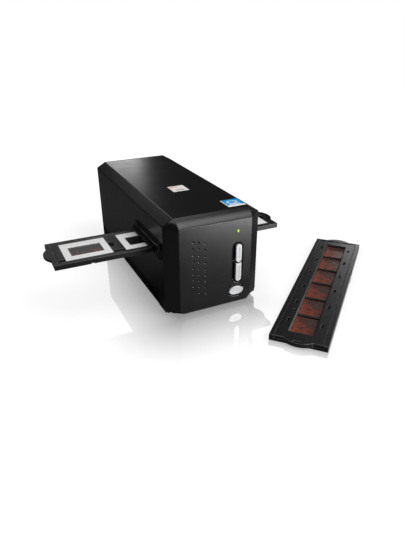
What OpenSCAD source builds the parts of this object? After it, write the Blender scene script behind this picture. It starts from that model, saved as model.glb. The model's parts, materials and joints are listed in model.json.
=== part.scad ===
// Desktop scanner for 35 mm film: a long casing with a side-to-side film slot, a holder for
// four framed slides that slides through the slot, and a six-frame holder for film strips.
// Units are millimetres. +X is to the right, +Y to the back, +Z up, and the origin is the
// middle of the casing's footprint on the desk.

/* [Casing] */
// Width of the casing
body_w = 113; // [108:1:130]
// Length of the casing, front to back
body_l = 266; // [262:1:300]
// Height of the casing above the desk
body_h = 112.5; // [108:0.5:130]
// Thickness of the casing walls
wall = 2.5; // [2:0.1:3]
// Width of the sloping top edges
slope_w = 12; // [8:0.5:16]
// Drop of the sloping top edges
slope_h = 7; // [5:0.5:10]
// Height of the casing's underside above the desk
floor_z = 3; // [2:0.5:5]
// Clearance between two fixed shells
shell_gap = 0.2; // [0.1:0.05:0.4]
// Height of the cover's raised lower edge
skirt_z = 18; // [14:0.5:24]
// Length of the front part where the cover reaches down to the underside
skirt_len = 21; // [16:0.5:30]
// Radius of the corner where the cover's lower edge steps up
skirt_r = 8; // [4:0.5:10]
// Thickness of the rear panel
rear_t = 3; // [2:0.5:5]

/* [Labels] */
// Width of the label in the middle of the top
mid_label_w = 20; // [10:1:30]
// Length of the label in the middle of the top
mid_label_l = 21; // [10:1:30]
// Distance from the film slot's middle line to the near edge of the middle label
mid_label_back = 23.7; // [5:0.1:60]
// Width of the label at the front of the top
front_label_w = 21; // [10:1:30]
// Length of the label at the front of the top
front_label_l = 22; // [10:1:30]
// Distance from the casing's sloping edge to the front label
front_label_edge = 0.5; // [0:0.1:20]
// Distance from the front cap's seam to the front label
front_label_back = 5.3; // [1:0.1:60]
// Thickness of a label
label_t = 0.2; // [0.1:0.05:0.3]

/* [Front cap] */
// Depth of the front cap
bezel_depth = 11; // [10:0.5:12]
// Distance from the casing's side to the flat front face
front_inset = 13.5; // [11.5:0.5:14.5]
// Drop from the top to the upper edge of the front face
bevel_drop = 9.3; // [7:0.1:12]
// Bulge of the rounded bevel over the front face, in degrees of arc
bevel_sweep = 44; // [20:2:60]
// Size of the cut lower corners of the front face
corner_cut = 4.5; // [3:0.5:9]
// Diameter of a dimple
dimple_d = 2; // [1.2:0.1:3]
// Distance between dimples in a column
dimple_pitch = 7.4; // [5:0.1:8]
// Number of dimples in each column, from the left
dimple_counts = [8, 9, 9];
// Distance of each column of dimples from the left edge of the front face
dimple_insets = [15.7, 22.2, 29.6];
// Drop from the top of the casing to the topmost dimple of each column
dimple_drops = [25.1, 26.8, 29.1];

/* [Buttons] */
// Distance from the right edge of the front face to the middle of the scan buttons
scan_side = 17; // [15:0.5:21]
// Height of the middle of the scan button recess
scan_z = 53; // [50:0.5:56]
// Width of the scan button recess
scan_recess_w = 13.5; // [11:0.5:14]
// Length of the scan button recess
scan_recess_l = 50; // [46:1:52]
// Width of a scan button
scan_w = 7.2; // [6:0.1:9]
// Length of a scan button
scan_l = 21.5; // [20:0.1:23]
// How far the scan buttons sit right of the middle of their recess
scan_shift = 1.4; // [0:0.1:1.8]
// Distance from the right edge of the front face to the middle of the power button
power_side = 18.5; // [16:0.5:21]
// Height of the power button
power_z = 18.4; // [18:0.1:20]
// Width of the oval power button recess
power_recess_w = 22.7; // [20:0.1:24]
// Height of the oval power button recess
power_recess_h = 15; // [13:0.1:16]
// Width of the oval power button
power_w = 18; // [16:0.1:18.4]
// Height of the oval power button
power_h = 10.4; // [9:0.1:11.4]
// How far the power button sits right of the middle of its recess
power_shift = 0.8; // [0:0.1:1]
// How far the buttons stand out of the front face
button_proud = 0.6; // [0.2:0.1:1.5]
// Travel of every button
button_travel = 1; // [0.5:0.1:1.2]
// Radius of a button's guide stem
stem_r = 2; // [1.5:0.1:2.5]
// Distance from the right edge of the front face to the status light
led_side = 17.7; // [15:0.1:23]
// Diameter of the status light
led_d = 3.5; // [3:0.1:5]

/* [Film slot] */
// Distance from the front face to the middle of the film slot
slot_from_front = 67.3; // [66:0.1:70]
// Height of the film holder's underside in the slot
slot_z = 67.7; // [66:0.1:70]
// Clearance on each side of a film holder in the slot
slot_clear = 4.2; // [3:0.1:5]
// Thickness of the slot frame's wall
frame_t = 2.5; // [2:0.1:3]
// How far the hood over the slot stands out of the casing
hood_proud = 3; // [2:0.1:3.5]
// Height of the hood band over the slot
hood_band = 6; // [5:0.5:8]
// Thickness of a dust flap
flap_t = 1.2; // [0.8:0.1:1.6]
// Radius of a dust flap's hinge pin
flap_pin_r = 0.7; // [0.6:0.05:0.8]
// Angle from upright at which a dust flap rests on the film holder
flap_lean = 52; // [40:1:60]
// Gap between a sliding piece and what it rests on
rest_gap = 0.15; // [0.1:0.05:0.3]

/* [Film holders] */
// Length of both film holders
holder_l = 264; // [258:1:280]
// Width of both film holders
holder_w = 60; // [58:1:62]
// Thickness of the slide holder
slide_holder_t = 5.5; // [5:0.1:6]
// Side of a framed slide
mount_side = 50; // [49:0.5:50.5]
// Thickness of a framed slide
mount_t = 2; // [1.5:0.1:2.4]
// Distance between two slides in the holder
slide_pitch = 64; // [62:0.5:65]
// How far the row of slides sits from the holder's middle
slide_shift = 2.6; // [0:0.1:3]
// How far the rails of the slide holder reach over a framed slide
rail_lip = 2.7; // [1:0.1:4]
// Number of slides
slide_count = 4; // [2:1:4]
// Length of a picture
picture_l = 35; // [34:0.5:37]
// Width of a picture
picture_w = 23; // [22:0.5:25]
// Radius of the finger notches
finger_r = 6; // [4.5:0.1:6.5]
// Width of the rounded tab on a holder's end
tab_w = 30; // [24:1:36]
// Reach of the rounded tab on a holder's end
tab_reach = 6; // [4:0.5:8]
// Thickness of the strip holder's base
strip_base_t = 3.4; // [3:0.1:4]
// Thickness of the strip holder's lid
strip_lid_t = 3.2; // [2.8:0.1:3.6]
// Width of the rims beside the lid
strip_rim_w = 5; // [4:0.1:6]
// Height of the rims beside the lid
strip_rim_h = 3.4; // [1:0.1:3.6]
// Distance between two windows of the strip holder
frame_pitch = 39.6; // [37:0.1:40]
// Number of frames in the strip holder
frame_count = 6; // [4:1:6]
// Width of the bars between the windows
bar_w = 3.5; // [2:0.1:5]
// Width of the strip holder's windows
window_w = 24; // [22:0.1:27]
// Depth of the trough that the strip holder's windows lie in
trough_d = 1.8; // [1:0.1:2]
// Length of a slot beside the strip holder's windows
vent_l = 8; // [4:0.1:10]
// Width of a slot beside the strip holder's windows
vent_w = 2.4; // [1:0.1:3]
// Sideways place of the strip holder's middle on the desk
strip_x = 139.4; // [130:0.1:160]
// Front-to-back place of the strip holder's middle on the desk
strip_y = -143.2; // [-170:0.1:-140]
// Turn of the strip holder on the desk
strip_turn = 41.9; // [38:0.1:46]

/* [Scanning unit] */
// Travel of the optical carriage
scan_travel = 30; // [26:1:31]
// Half the distance between the guide rods
rod_x = 34; // [33:0.5:35]
// Radius of the guide rods
rod_r = 3; // [2.5:0.1:3.2]
// Height of the guide rods
rod_z = 30; // [28:0.5:32]
// Sideways place of the lead screw
screw_x = 20; // [18:0.5:21]
// Height of the lead screw
screw_z = 17; // [16.5:0.1:17.2]
// Radius of the lead screw
screw_r = 2.5; // [2:0.1:2.6]
// Radius of the stepper motor
motor_r = 10; // [8:0.5:10.5]
// Width of the carriage's housing
head_w = 54; // [50:1:54]
// Radial clearance of a shaft or stem that turns or slides
run_gap = 0.05; // [0.03:0.01:0.08]

/* [Hidden] */
$fn = 48;
eps = 0.01;

// Places of the casing's shells
front_y = -body_l / 2;
back_y = body_l / 2;
seam_y = front_y + bezel_depth;
cover_back_y = back_y - rear_t;
step_y = seam_y + skirt_len;
half_w = body_w / 2;
slope_len = sqrt(slope_w * slope_w + slope_h * slope_h);
cover_low_z = floor_z + 1;
tray_half_w = half_w - wall - shell_gap;
tray_wall = 2;
tray_top_z = floor_z + wall;
tray_rim_z = skirt_z + 5;
skirt_inset = 1.2;
tray_skirt_half_w = half_w - skirt_inset;
skirt_groove = 0.8;
lip_t = 1.4;
lip_l = 3;
lip_room = 1;
standoff_r = 4;

// Screws
case_screw_r = 1.5;
case_head_r = 2.8;
case_head_t = 2.2;
case_boss_r = 4;
case_boss_z = tray_rim_z + 1;
case_screw_x = tray_half_w - tray_wall - case_boss_r - 0.2;
case_screw_front = 7;
case_screw_back = 9;
case_screw_y = [seam_y + case_screw_front, cover_back_y - case_screw_back];
case_screw_grip = 6;
lug_t = 6;
foot_r = 6;
foot_sink = 0.6;
foot_side = 15;
foot_front = 24;
foot_back = 20;
foot_x = half_w - foot_side;
foot_y = [front_y + foot_front, back_y - foot_back];

// Front cap
front_half_w = half_w - front_inset;
front_top_z = body_h - bevel_drop;
front_low_z = floor_z + 1;
seam_land = 0.6;
lead_in = 2;
edge_soft = 1.6;
side_low = 6;
side_low_z = floor_z + side_low;
underside_inset = 8;
cap_low_z = floor_z - 1;
rim_room = 1.2;
dimple_depth = 0.9;
dimple_tip_r = 0.2;
bevel_chord = sqrt(bezel_depth * bezel_depth + bevel_drop * bevel_drop);
bevel_tilt = atan2(bevel_drop, bezel_depth);
bevel_r = bevel_chord / (2 * sin(bevel_sweep / 2));
bevel_y = seam_y + bevel_r * sin(bevel_tilt - bevel_sweep / 2);
bevel_z = body_h - bevel_r * cos(bevel_tilt - bevel_sweep / 2);

// Buttons, from the front face backwards
scan_x = front_half_w - scan_side;
power_x = front_half_w - power_side;
led_x = front_half_w - led_side;
led_z = (scan_z + scan_recess_l / 2 + front_top_z) / 2;
cap_t = 3.2;
groove_w = 1.6;
groove_d = 0.4;
dish_r = 40;
dish_d = 0.2;
cap_front_y = front_y - button_proud;
cap_back_y = cap_front_y + cap_t;
tub_wall = 1;
tub_rim = 0.8;
tub_rim_t = 1.2;
tub_sink = 0.3;
tub_floor_y = cap_back_y + button_travel + 0.8;
tub_floor_t = 1.6;
flange_y = tub_floor_y + tub_floor_t + 0.1;
flange_t = 1;
flange_r = stem_r + 1.2;
stem_end_y = flange_y + flange_t + 1.5;
switch_side = 6;
switch_t = 3.7;
switch_y = stem_end_y + button_travel + 0.5;
plunger_r = 1.7;
plunger_end_y = switch_y + 1.2;
board_t = 1.6;
board_y = switch_y + switch_t;
board_back_y = board_y + board_t;
cap_half = scan_l / 2;
cap_gap = 1.8;
cap_sink = 0.6;
cap_x = scan_x + scan_shift;
upper_z = scan_z - cap_sink + (scan_l + cap_gap) / 2;
lower_z = scan_z - cap_sink - (scan_l + cap_gap) / 2;
power_cap_x = power_x + power_shift;
power_cap_z = power_z - cap_sink / 2;
button_xz = [[cap_x, upper_z], [cap_x, lower_z], [power_cap_x, power_cap_z]];
board_below = 8.4;
board_above = 7;
board_half_w = 14.8;
board_low_z = power_z - board_below;
board_high_z = led_z + board_above;
board_left_x = scan_x - board_half_w;
board_right_x = scan_x + board_half_w;
post_r = 2.8;
post_side = 3.5;
post_low = 21;
post_high = 27;
post_xz = [for (px = [board_left_x + post_side, board_right_x - post_side])
    for (pz = [scan_z - post_low, scan_z + post_high]) [px, pz]];
small_screw_r = 1.1;
small_head_r = 2.1;
small_head_t = 1.4;
small_screw_l = 5;
led_l = 3;
led_gap = 0.3;

// Film slot
slot_y = front_y + slot_from_front;
slot_half = holder_w / 2 + slot_clear;
holder_top_z = slot_z + slide_holder_t;
slot_under = 1.2;
slot_low_z = slot_z - slot_under;
flap_barrel_wall = 0.6;
flap_barrel_r = flap_pin_r + flap_barrel_wall;
flap_room = 0.4;
flap_rise = 4.8;
flap_z = holder_top_z + flap_rise;
flap_in = 0.5;
flap_x = half_w - flap_in;
slot_high_z = flap_z + flap_barrel_r + flap_room;
frame_in_x = half_w - wall - 1;
frame_out_x = half_w + 0.8;
hood_over = 1.3;
hood_low_z = slot_high_z + hood_over;
hood_r = 13;
hood_edge = 0.5;
hood_round = 1.5;
hood_lead = 5.5;
hood_tail = 5;
hood_fade = 10;
hood_front_y = slot_y - slot_half - hood_lead;
hood_back_y = slot_y + slot_half - hood_tail;
hood_end_z = slot_low_z;
flap_len = (flap_z - holder_top_z - rest_gap - flap_t / 2 * sin(flap_lean)) / cos(flap_lean);

// Slide holder
holder_x = -30.5;
mount_gap = 0.3;
mount_recess = 1;
lip_gap = 0.2;
ledge_w = 4.5;
mount_z = holder_top_z - mount_recess - mount_t;
film_t = 0.3;
end_rim = 5;
bed_drop = 0.3;
bed_groove_w = 1.2;
bed_groove_d = 1.4;
rail_groove_d = 0.25;
pad_slot_w = 4.5;
pad_slot_d = 2.6;
notch_ring = 1.8;
notch_floor_t = 1.2;
tab_t = 3;
notch_w = 3;
notch_h = 2;
notch_d = 1.5;

// Strip holder
strip_lid_w = holder_w - 2 * (strip_rim_w + 0.4);
strip_lid_z = strip_base_t + 0.2;
strip_top_z = strip_lid_z + strip_lid_t;
strip_pin_r = 0.9;
strip_knuckle_r = strip_pin_r + 0.9;
strip_hinge_back = 5.5;
strip_hinge_x = holder_l / 2 - strip_hinge_back;
strip_hinge_z = strip_lid_z + strip_knuckle_r - 0.3;
strip_rim_z = strip_base_t + strip_rim_h;
strip_shift = -1.5;
window_l = frame_pitch - bar_w;
trough_z = strip_top_z - trough_d;
trough_slope = 1.3;
film_w = 35;
film_sink = 0.1;
strip_film_z = strip_base_t - film_t - film_sink;
vent_shift = 3.3;
vent_y = 18;
latch_w = 9.4;
latch_t = 1.6;
latch_x = -holder_l / 2 - 3.2;
latch_gap = 0.4;
hook_drop = 1.6;
near_tab_reach = 5;
near_tab_low = 1.6;
far_wall = 2;
bump_l = 12;
bump_x = 40;
bump_h = 0.8;
bump_low_z = 3.4;
mark_x = -74;
mark_y = 17;
mark_r = 0.7;
mark_d = 0.6;

// Scanning unit
scan_y = slot_y + scan_travel / 2;
chassis_z = tray_top_z + 3.5;
chassis_t = 2.5;
chassis_top_z = chassis_z + chassis_t;
chassis_half_w = tray_half_w - 3.8;
chassis_front_room = 12;
chassis_back_room = 35;
chassis_front_y = seam_y + chassis_front_room;
chassis_back_y = cover_back_y - chassis_back_room;
plate_t = 3;
plate_side = 8;
plate_above = 12;
chassis_wall_z = rod_z + plate_above;
leg_r = 3.5;
leg_y = 33;
leg_x = chassis_half_w - leg_r - 0.5;
leg_bore_l = 8;
track_screw_l = 7;
chassis_screw_side = 4;
chassis_screw_in = 8;
chassis_screw_x = rod_x - chassis_screw_side;
chassis_screw_y = [chassis_front_y + chassis_screw_in, chassis_back_y - chassis_screw_in];
bearing_t = 1.5;
track_z = slot_z - rest_gap;
track_t = 2.9;
fence_t = 2;
fence_gap = 0.3;
fence_top_z = holder_top_z + 2.2;
keeper_z = holder_top_z + 0.4;
keeper_w = 1.5;
track_half = holder_w / 2 + fence_gap + fence_t;
track_half_l = frame_in_x - 0.4;
guide_h = 5;
light_gap = 5;
spring_half_l = 13;
spring_half_w = 2;
spring_nose_r = 0.6;
spring_low_z = slot_z + 0.8;
spring_h = 2.8;
spring_room = 9;
head_low_z = screw_z + screw_r + 0.7;
head_high_z = 58;
head_wall = 2;
head_front_room = 11;
head_back_room = 15;
head_front_y = scan_y - head_front_room;
head_back_y = chassis_back_y - head_back_room;
head_half_w = head_w / 2;
lens_z = (head_low_z + head_high_z) / 2;
lens_r = 11;
mirror_l = 22;
mirror_t = 1.5;
mirror_seat = 1;
rib_t = 3;
rib_h = 4;
lens_back = 66;
lens_y = head_back_y - lens_back;
lens_l = 30;
lens_wall = 3;
lens_rim = 4;
bulkhead_in = 8;
bulkhead_y = lens_y + bulkhead_in;
bulkhead_t = 6;
sensor_half_w = 22;
sensor_half_h = 14;
chip_half_w = 15;
chip_half_h = 3;
chip_t = 3;
chip_gap = 1;
lid_t = 2;
head_lid_z = head_high_z + lid_t;
lid_slot_half_w = 20;
lid_slot_half_l = 3;
lug_len = 20;
lug_half = 6;
lug_front = 12;
lug_back = 10;
nut_half_w = 6;
nut_below = 4.5;
nut_l = 12;
nut_back = 28;
lamp_above = 8;
lamp_z = fence_top_z + lamp_above;
lamp_h = 8;
lamp_half = 7;
lamp_half_w = 24;
lamp_wall = 2;
arm_z = lamp_z + lamp_h;
arm_t = 3;
arm_room = 5;
arm_foot_l = 10;
arm_foot_front = 4;
arm_y = slot_y + track_half + scan_travel + arm_room;
motor_l = 18;
motor_ear = 3;
motor_bore_l = 5;
pcb_above = 3;
pcb_z = tray_top_z + pcb_above;
pcb_y = chassis_back_y + 2;
pcb_back_y = cover_back_y - 3;
pcb_post_r = 2.5;
pcb_post_in = 5;
pcb_chip = 10;
pcb_chip_in = 5;
pcb_chip_t = 1.2;
pcb_left_x = -case_screw_x + case_boss_r + 1;
pcb_right_x = screw_x - motor_r - 4;
socket_z = pcb_z + board_t;
usb_in = 12;
usb_l = 13;
usb_x = pcb_left_x + usb_in;
usb_w = 12;
usb_h = 11;
usb_open_w = 8.5;
usb_open_h = 7.8;
usb_open_d = 9;
jack_pitch = 18;
jack_l = 11;
jack_x = usb_x + jack_pitch;
jack_w = 9;
jack_h = 11;
jack_r = 2.9;
jack_pin_r = 1;
jack_d = 9;
socket_end_y = back_y - 0.8;
cable_w = 16;
cable_t = 0.5;
cable_x = -24;
cable_bend = 5;
cable_above = 9;
cable_z = lens_z + cable_above;
connector_t = 2.5;
connector_l = 5;
connector_in = 4;
socket_gap = 0.3;

case_black = [0.11, 0.11, 0.12];
tray_black = [0.08, 0.08, 0.09];
holder_grey = [0.17, 0.17, 0.18];
inner_black = [0.13, 0.13, 0.14];
silver = [0.86, 0.87, 0.88];
steel = [0.68, 0.69, 0.71];
board_green = [0.08, 0.32, 0.18];

// Casing outline across the width, set in by a wall, with its lower edge at a height
function body_outline(inset, low) =
    let (hw = half_w - inset)
    let (sx = half_w - slope_w - inset * (slope_len - slope_w) / slope_h)
    let (sz = body_h - slope_h - inset * (slope_len - slope_h) / slope_w)
    [[-hw, low], [hw, low], [hw, sz], [sx, body_h - inset], [-sx, body_h - inset], [-hw, sz]];

// Points along an arc
function arc(cx, cy, r, from, to, steps = 12) =
    [for (i = [0 : steps]) let (a = from + (to - from) * i / steps) [cx + r * cos(a), cy + r * sin(a)]];

// Points around an ellipse
function oval(a, b, steps = 48) =
    [for (i = [0 : steps - 1]) [a * cos(360 * i / steps), b * sin(360 * i / steps)]];

// Draws a profile of x and z between two places along y
module prism_y(from, to) {
    translate([0, to, 0]) rotate([90, 0, 0]) linear_extrude(to - from) children();
}

// Draws a profile of y and z between two places along x
module prism_x(from, to) {
    translate([from, 0, 0]) rotate([90, 0, 90]) linear_extrude(to - from) children();
}

// A box between two corners
module box(low, high) {
    translate(low) cube(high - low);
}

// A round rod along y
module rod_y(x, z, r, from, to) {
    translate([x, to, z]) rotate([90, 0, 0]) cylinder(r = r, h = to - from);
}

// A slot shape with round ends, standing upright
module pill(w, l) {
    square([w, l - w], center = true);
    for (end = [-1, 1]) translate([0, end * (l - w) / 2]) circle(w / 2);
}

// Mirrors what is drawn on the left to the given side
module on_side(side) {
    mirror([side > 0 ? 1 : 0, 0, 0]) children();
}

// ---- Casing ----

// Region under the cover's raised lower edge, as a y and z profile
module raised_edge(gap, back) {
    r = skirt_r - gap;
    y = step_y + gap;
    polygon(concat([[back, floor_z], [y, floor_z]],
        arc(y + r, skirt_z - gap - r, r, 180, 90), [[back, skirt_z - gap]]));
}

// Lug inside the cover that takes a case screw
module cover_lug(side, y) {
    box([side > 0 ? case_screw_x - case_boss_r : -half_w + wall / 2, y - case_boss_r, case_boss_z],
        [side > 0 ? half_w - wall / 2 : -case_screw_x + case_boss_r, y + case_boss_r, case_boss_z + lug_t]);
}

module top_cover() color(case_black) difference() {
    union() {
        difference() {
            prism_y(seam_y, cover_back_y) polygon(body_outline(0, cover_low_z));
            prism_y(seam_y - 1, cover_back_y + 1) polygon(body_outline(wall, cover_low_z - 1));
        }
        for (side = [-1, 1]) for (y = case_screw_y) cover_lug(side, y);
    }
    translate([0, 0, -eps]) prism_x(-half_w - 1, half_w + 1) raised_edge(0, back_y + 1);
    prism_x(-half_w - 1, half_w + 1) slot_frame_outline(shell_gap / 2);
    for (x = [-case_screw_x, case_screw_x]) for (y = case_screw_y)
        translate([x, y, case_boss_z - 1]) cylinder(r = case_screw_r + eps, h = lug_t + 2);
}

module case_boss(x, y) {
    translate([x, y, tray_top_z - eps]) cylinder(r = case_boss_r, h = case_boss_z - tray_top_z + eps);
}

module base_tray() color(tray_black) difference() {
    union() {
        box([-tray_half_w, seam_y + shell_gap, floor_z],
            [tray_half_w, cover_back_y - shell_gap, tray_top_z]);
        for (side = [-1, 1]) on_side(side) {
            box([-tray_half_w, seam_y + lip_l + lip_room, floor_z],
                [-tray_half_w + tray_wall, cover_back_y - lip_l - lip_room, tray_rim_z]);
            prism_x(-tray_skirt_half_w, -tray_half_w + eps)
                raised_edge(skirt_groove, cover_back_y - shell_gap);
        }
        for (x = [-case_screw_x, case_screw_x]) for (y = case_screw_y) case_boss(x, y);
        for (x = [-chassis_screw_x, chassis_screw_x]) for (y = chassis_screw_y)
            translate([x, y, tray_top_z - eps]) cylinder(r = standoff_r, h = chassis_z - tray_top_z + eps);
        for (x = [pcb_left_x + pcb_post_in, pcb_right_x - pcb_post_in])
            for (y = [pcb_y + pcb_post_in, pcb_back_y - pcb_post_in])
                translate([x, y, tray_top_z - eps]) cylinder(r = pcb_post_r, h = pcb_z - tray_top_z + eps);
    }
    for (x = [-case_screw_x, case_screw_x]) for (y = case_screw_y) translate([x, y, 0]) {
        cylinder(r = case_head_r + 0.3, h = case_boss_z - case_screw_grip);
        cylinder(r = case_screw_r + 0.2, h = case_boss_z + 1);
    }
    for (x = [-foot_x, foot_x]) for (y = foot_y)
        translate([x, y, 0]) cylinder(r = foot_r, h = floor_z + foot_sink);
    for (x = [-chassis_screw_x, chassis_screw_x]) for (y = chassis_screw_y)
        translate([x, y, tray_top_z - 1]) cylinder(r = case_screw_r + eps, h = chassis_z);
}

module case_screws() color(steel)
    for (x = [-case_screw_x, case_screw_x]) for (y = case_screw_y)
        translate([x, y, case_boss_z - case_screw_grip]) {
            translate([0, 0, -case_head_t]) cylinder(r = case_head_r, h = case_head_t);
            cylinder(r = case_screw_r, h = case_screw_grip + lug_t - 0.5);
        }

module rubber_feet() color([0.2, 0.2, 0.2])
    for (x = [-foot_x, foot_x]) for (y = foot_y)
        translate([x, y, 0]) cylinder(r = foot_r, h = floor_z + foot_sink);

// Points of the rounded bevel, seen from the side, set in by a wall
function bevel_points(inset) =
    [for (i = [0 : 8]) let (a = bevel_tilt - bevel_sweep / 2 + bevel_sweep * i / 8)
        [bevel_y - (bevel_r - inset) * sin(a), bevel_z + (bevel_r - inset) * cos(a)]];

// Front block of the cap, seen from the side, down to a height
module front_profile(inset, low) {
    polygon(concat(bevel_points(inset), [[front_y + inset, low], [seam_y, low]]));
}

// Outer form of the front cap, or its hollow when set in by a wall
module bezel_form(inset) {
    low = side_low_z + inset / 2;
    hull() {
        prism_y(seam_y - seam_land, seam_y) polygon(concat(body_outline(inset, low),
            [[-half_w + underside_inset, cap_low_z + inset],
            [half_w - underside_inset, cap_low_z + inset]]));
        prism_y(seam_y - lead_in - 0.2, seam_y - lead_in)
            translate([-half_w + edge_soft + inset, low])
            square([2 * (half_w - edge_soft - inset), front_top_z - lead_in - low - inset]);
        prism_x(-front_half_w + inset, front_half_w - inset)
            front_profile(inset, front_low_z + corner_cut);
        prism_x(-front_half_w + corner_cut, front_half_w - corner_cut)
            front_profile(inset, front_low_z + inset);
    }
}

module front_bezel() color(case_black) difference() {
    union() {
        difference() {
            bezel_form(0);
            bezel_form(wall);
            box([-half_w + underside_inset + 1, seam_y - rim_room, floor_z + wall],
                [half_w - underside_inset - 1, seam_y + 1, tray_rim_z]);
        }
        difference() {
            prism_y(seam_y - rim_room, seam_y + lip_l)
                polygon(body_outline(wall + shell_gap, tray_rim_z + lip_room));
            prism_y(seam_y - rim_room - 1, seam_y + lip_l + 1)
                polygon(body_outline(wall + shell_gap + lip_t, tray_rim_z));
        }
        for (p = post_xz) rod_y(p[0], p[1], post_r, front_y + wall - 0.5, board_y);
    }
    translate([scan_x, 0, scan_z]) prism_y(front_y - 1, front_y + wall + 1)
        pill(scan_recess_w, scan_recess_l);
    translate([power_x, 0, power_z]) prism_y(front_y - 1, front_y + wall + 1)
        polygon(oval(power_recess_w / 2, power_recess_h / 2));
    rod_y(led_x, led_z, led_d / 2 + eps, front_y - 1, front_y + wall + 1);
    for (p = post_xz) rod_y(p[0], p[1], small_screw_r + eps, board_y - small_screw_l - 1, board_y + 1);
    for (c = [0 : len(dimple_insets) - 1]) for (i = [0 : dimple_counts[c] - 1])
        translate([dimple_insets[c] - front_half_w, front_y, body_h - dimple_drops[c] - i * dimple_pitch])
            rotate([-90, 0, 0]) cylinder(r1 = dimple_d / 2, r2 = dimple_tip_r, h = dimple_depth, $fn = 16);
}

module rear_panel() color(case_black) difference() {
    union() {
        prism_y(cover_back_y, back_y) polygon(body_outline(0, floor_z));
        difference() {
            prism_y(cover_back_y - lip_l, cover_back_y)
                polygon(body_outline(wall + shell_gap, tray_rim_z + lip_room));
            prism_y(cover_back_y - lip_l - 1, cover_back_y + eps)
                polygon(body_outline(wall + shell_gap + lip_t, tray_rim_z));
        }
    }
    socket_hole(usb_x, usb_w, usb_h);
    socket_hole(jack_x, jack_w, jack_h);
}

// Hole in the rear panel around a socket
module socket_hole(x, w, h) {
    box([x - w / 2 - socket_gap, cover_back_y - 1, socket_z - socket_gap],
        [x + w / 2 + socket_gap, back_y + 1, socket_z + h + socket_gap]);
}

module orange_label() color([0.95, 0.93, 0.88])
    translate([-mid_label_w / 2, slot_y + mid_label_back, body_h])
        cube([mid_label_w, mid_label_l, label_t]);

module blue_label() color([0.35, 0.65, 0.88])
    translate([half_w - slope_w - front_label_edge - front_label_w, seam_y + front_label_back, body_h])
        cube([front_label_w, front_label_l, label_t]);

// ---- Film slot ----

module slot_frame_outline(gap) {
    translate([slot_y - slot_half - frame_t - gap, slot_low_z - frame_t + 0.5 - gap])
        square([2 * (slot_half + frame_t + gap), slot_high_z - slot_low_z + frame_t + 0.8 + 2 * gap]);
}

// Hood band seen from the side: it runs forward over the slot and turns down in front of it
module hood_outline() {
    outer = hood_r;
    inner = hood_r - hood_band;
    mid_z = hood_low_z - inner;
    polygon(concat([[hood_back_y + hood_tail, hood_low_z],
        [hood_back_y - hood_tail, hood_low_z + hood_band]],
        arc(hood_front_y, mid_z, outer, 90, 180),
        [[hood_front_y - outer + hood_round, hood_end_z], [hood_front_y - inner - 1, hood_end_z + 1]],
        arc(hood_front_y, mid_z, inner, 180, 90)));
}

module slot_hood(side) color(case_black) on_side(side) difference() {
    union() {
        difference() {
            prism_x(-frame_out_x, -frame_in_x) slot_frame_outline(0);
            prism_x(-frame_out_x - 1, -frame_in_x + 1) translate([slot_y - slot_half, slot_low_z])
                square([2 * slot_half, slot_high_z - slot_low_z]);
        }
        intersection() {
            prism_x(-half_w - hood_proud, -half_w) hood_outline();
            prism_y(seam_y, hood_back_y + hood_fade) polygon([[-half_w, hood_end_z - 1],
                [-half_w - hood_proud, hood_end_z - 1], [-half_w - hood_proud, hood_low_z + hood_round],
                [-half_w - hood_edge, hood_low_z + hood_band], [-half_w, hood_low_z + hood_band]]);
            translate([0, 0, hood_end_z - 1]) linear_extrude(hood_r + hood_band + hood_fade) polygon([
                [-half_w, hood_back_y + hood_fade], [-half_w - hood_edge, hood_back_y + hood_fade],
                [-half_w - hood_proud, hood_back_y - hood_fade],
                [-half_w - hood_proud, hood_front_y - hood_r * 2 / 3],
                [-half_w - hood_edge, hood_front_y - hood_r], [-half_w, hood_front_y - hood_r]]);
        }
    }
    rod_y(-flap_x, flap_z, flap_pin_r + eps, slot_y - slot_half - 2, slot_y + slot_half + 2);
}

module dust_flap(side) color(inner_black) on_side(side) difference() {
    union() {
        rod_y(-flap_x, flap_z, flap_barrel_r, slot_y - slot_half + flap_room, slot_y + slot_half - flap_room);
        translate([-flap_x, slot_y, flap_z]) rotate([0, flap_lean, 0])
            translate([-flap_t / 2, -slot_half + 2 * flap_room, -flap_len])
            cube([flap_t, 2 * (slot_half - 2 * flap_room), flap_len]);
    }
    rod_y(-flap_x, flap_z, flap_pin_r + run_gap, slot_y - slot_half, slot_y + slot_half);
}

module flap_pin(side) color(steel) on_side(side)
    rod_y(-flap_x, flap_z, flap_pin_r, slot_y - slot_half - 2, slot_y + slot_half + 2);

// ---- Buttons ----

module scan_button_surround() color([0.05, 0.05, 0.05]) difference() {
    translate([scan_x, 0, scan_z]) {
        prism_y(front_y + tub_sink, tub_floor_y + tub_floor_t) pill(scan_recess_w, scan_recess_l);
        prism_y(front_y + wall, front_y + wall + tub_rim_t)
            pill(scan_recess_w + 2 * tub_rim, scan_recess_l + 2 * tub_rim);
    }
    translate([scan_x, 0, scan_z]) prism_y(front_y - 1, tub_floor_y)
        pill(scan_recess_w - 2 * tub_wall, scan_recess_l - 2 * tub_wall);
    for (z = [upper_z, lower_z])
        rod_y(cap_x, z, stem_r + run_gap, tub_floor_y - 1, tub_floor_y + tub_floor_t + 1);
}

module power_button_surround() color([0.05, 0.05, 0.05]) difference() {
    translate([power_x, 0, power_z]) {
        prism_y(front_y + tub_sink, tub_floor_y + tub_floor_t)
            polygon(oval(power_recess_w / 2, power_recess_h / 2));
        prism_y(front_y + wall, front_y + wall + tub_rim_t)
            polygon(oval(power_recess_w / 2 + tub_rim, power_recess_h / 2 + tub_rim));
    }
    translate([power_x, 0, power_z]) prism_y(front_y - 1, tub_floor_y)
        polygon(oval(power_recess_w / 2 - tub_wall, power_recess_h / 2 - tub_wall));
    rod_y(power_cap_x, power_cap_z, stem_r + run_gap, tub_floor_y - 1, tub_floor_y + tub_floor_t + 1);
}

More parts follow.
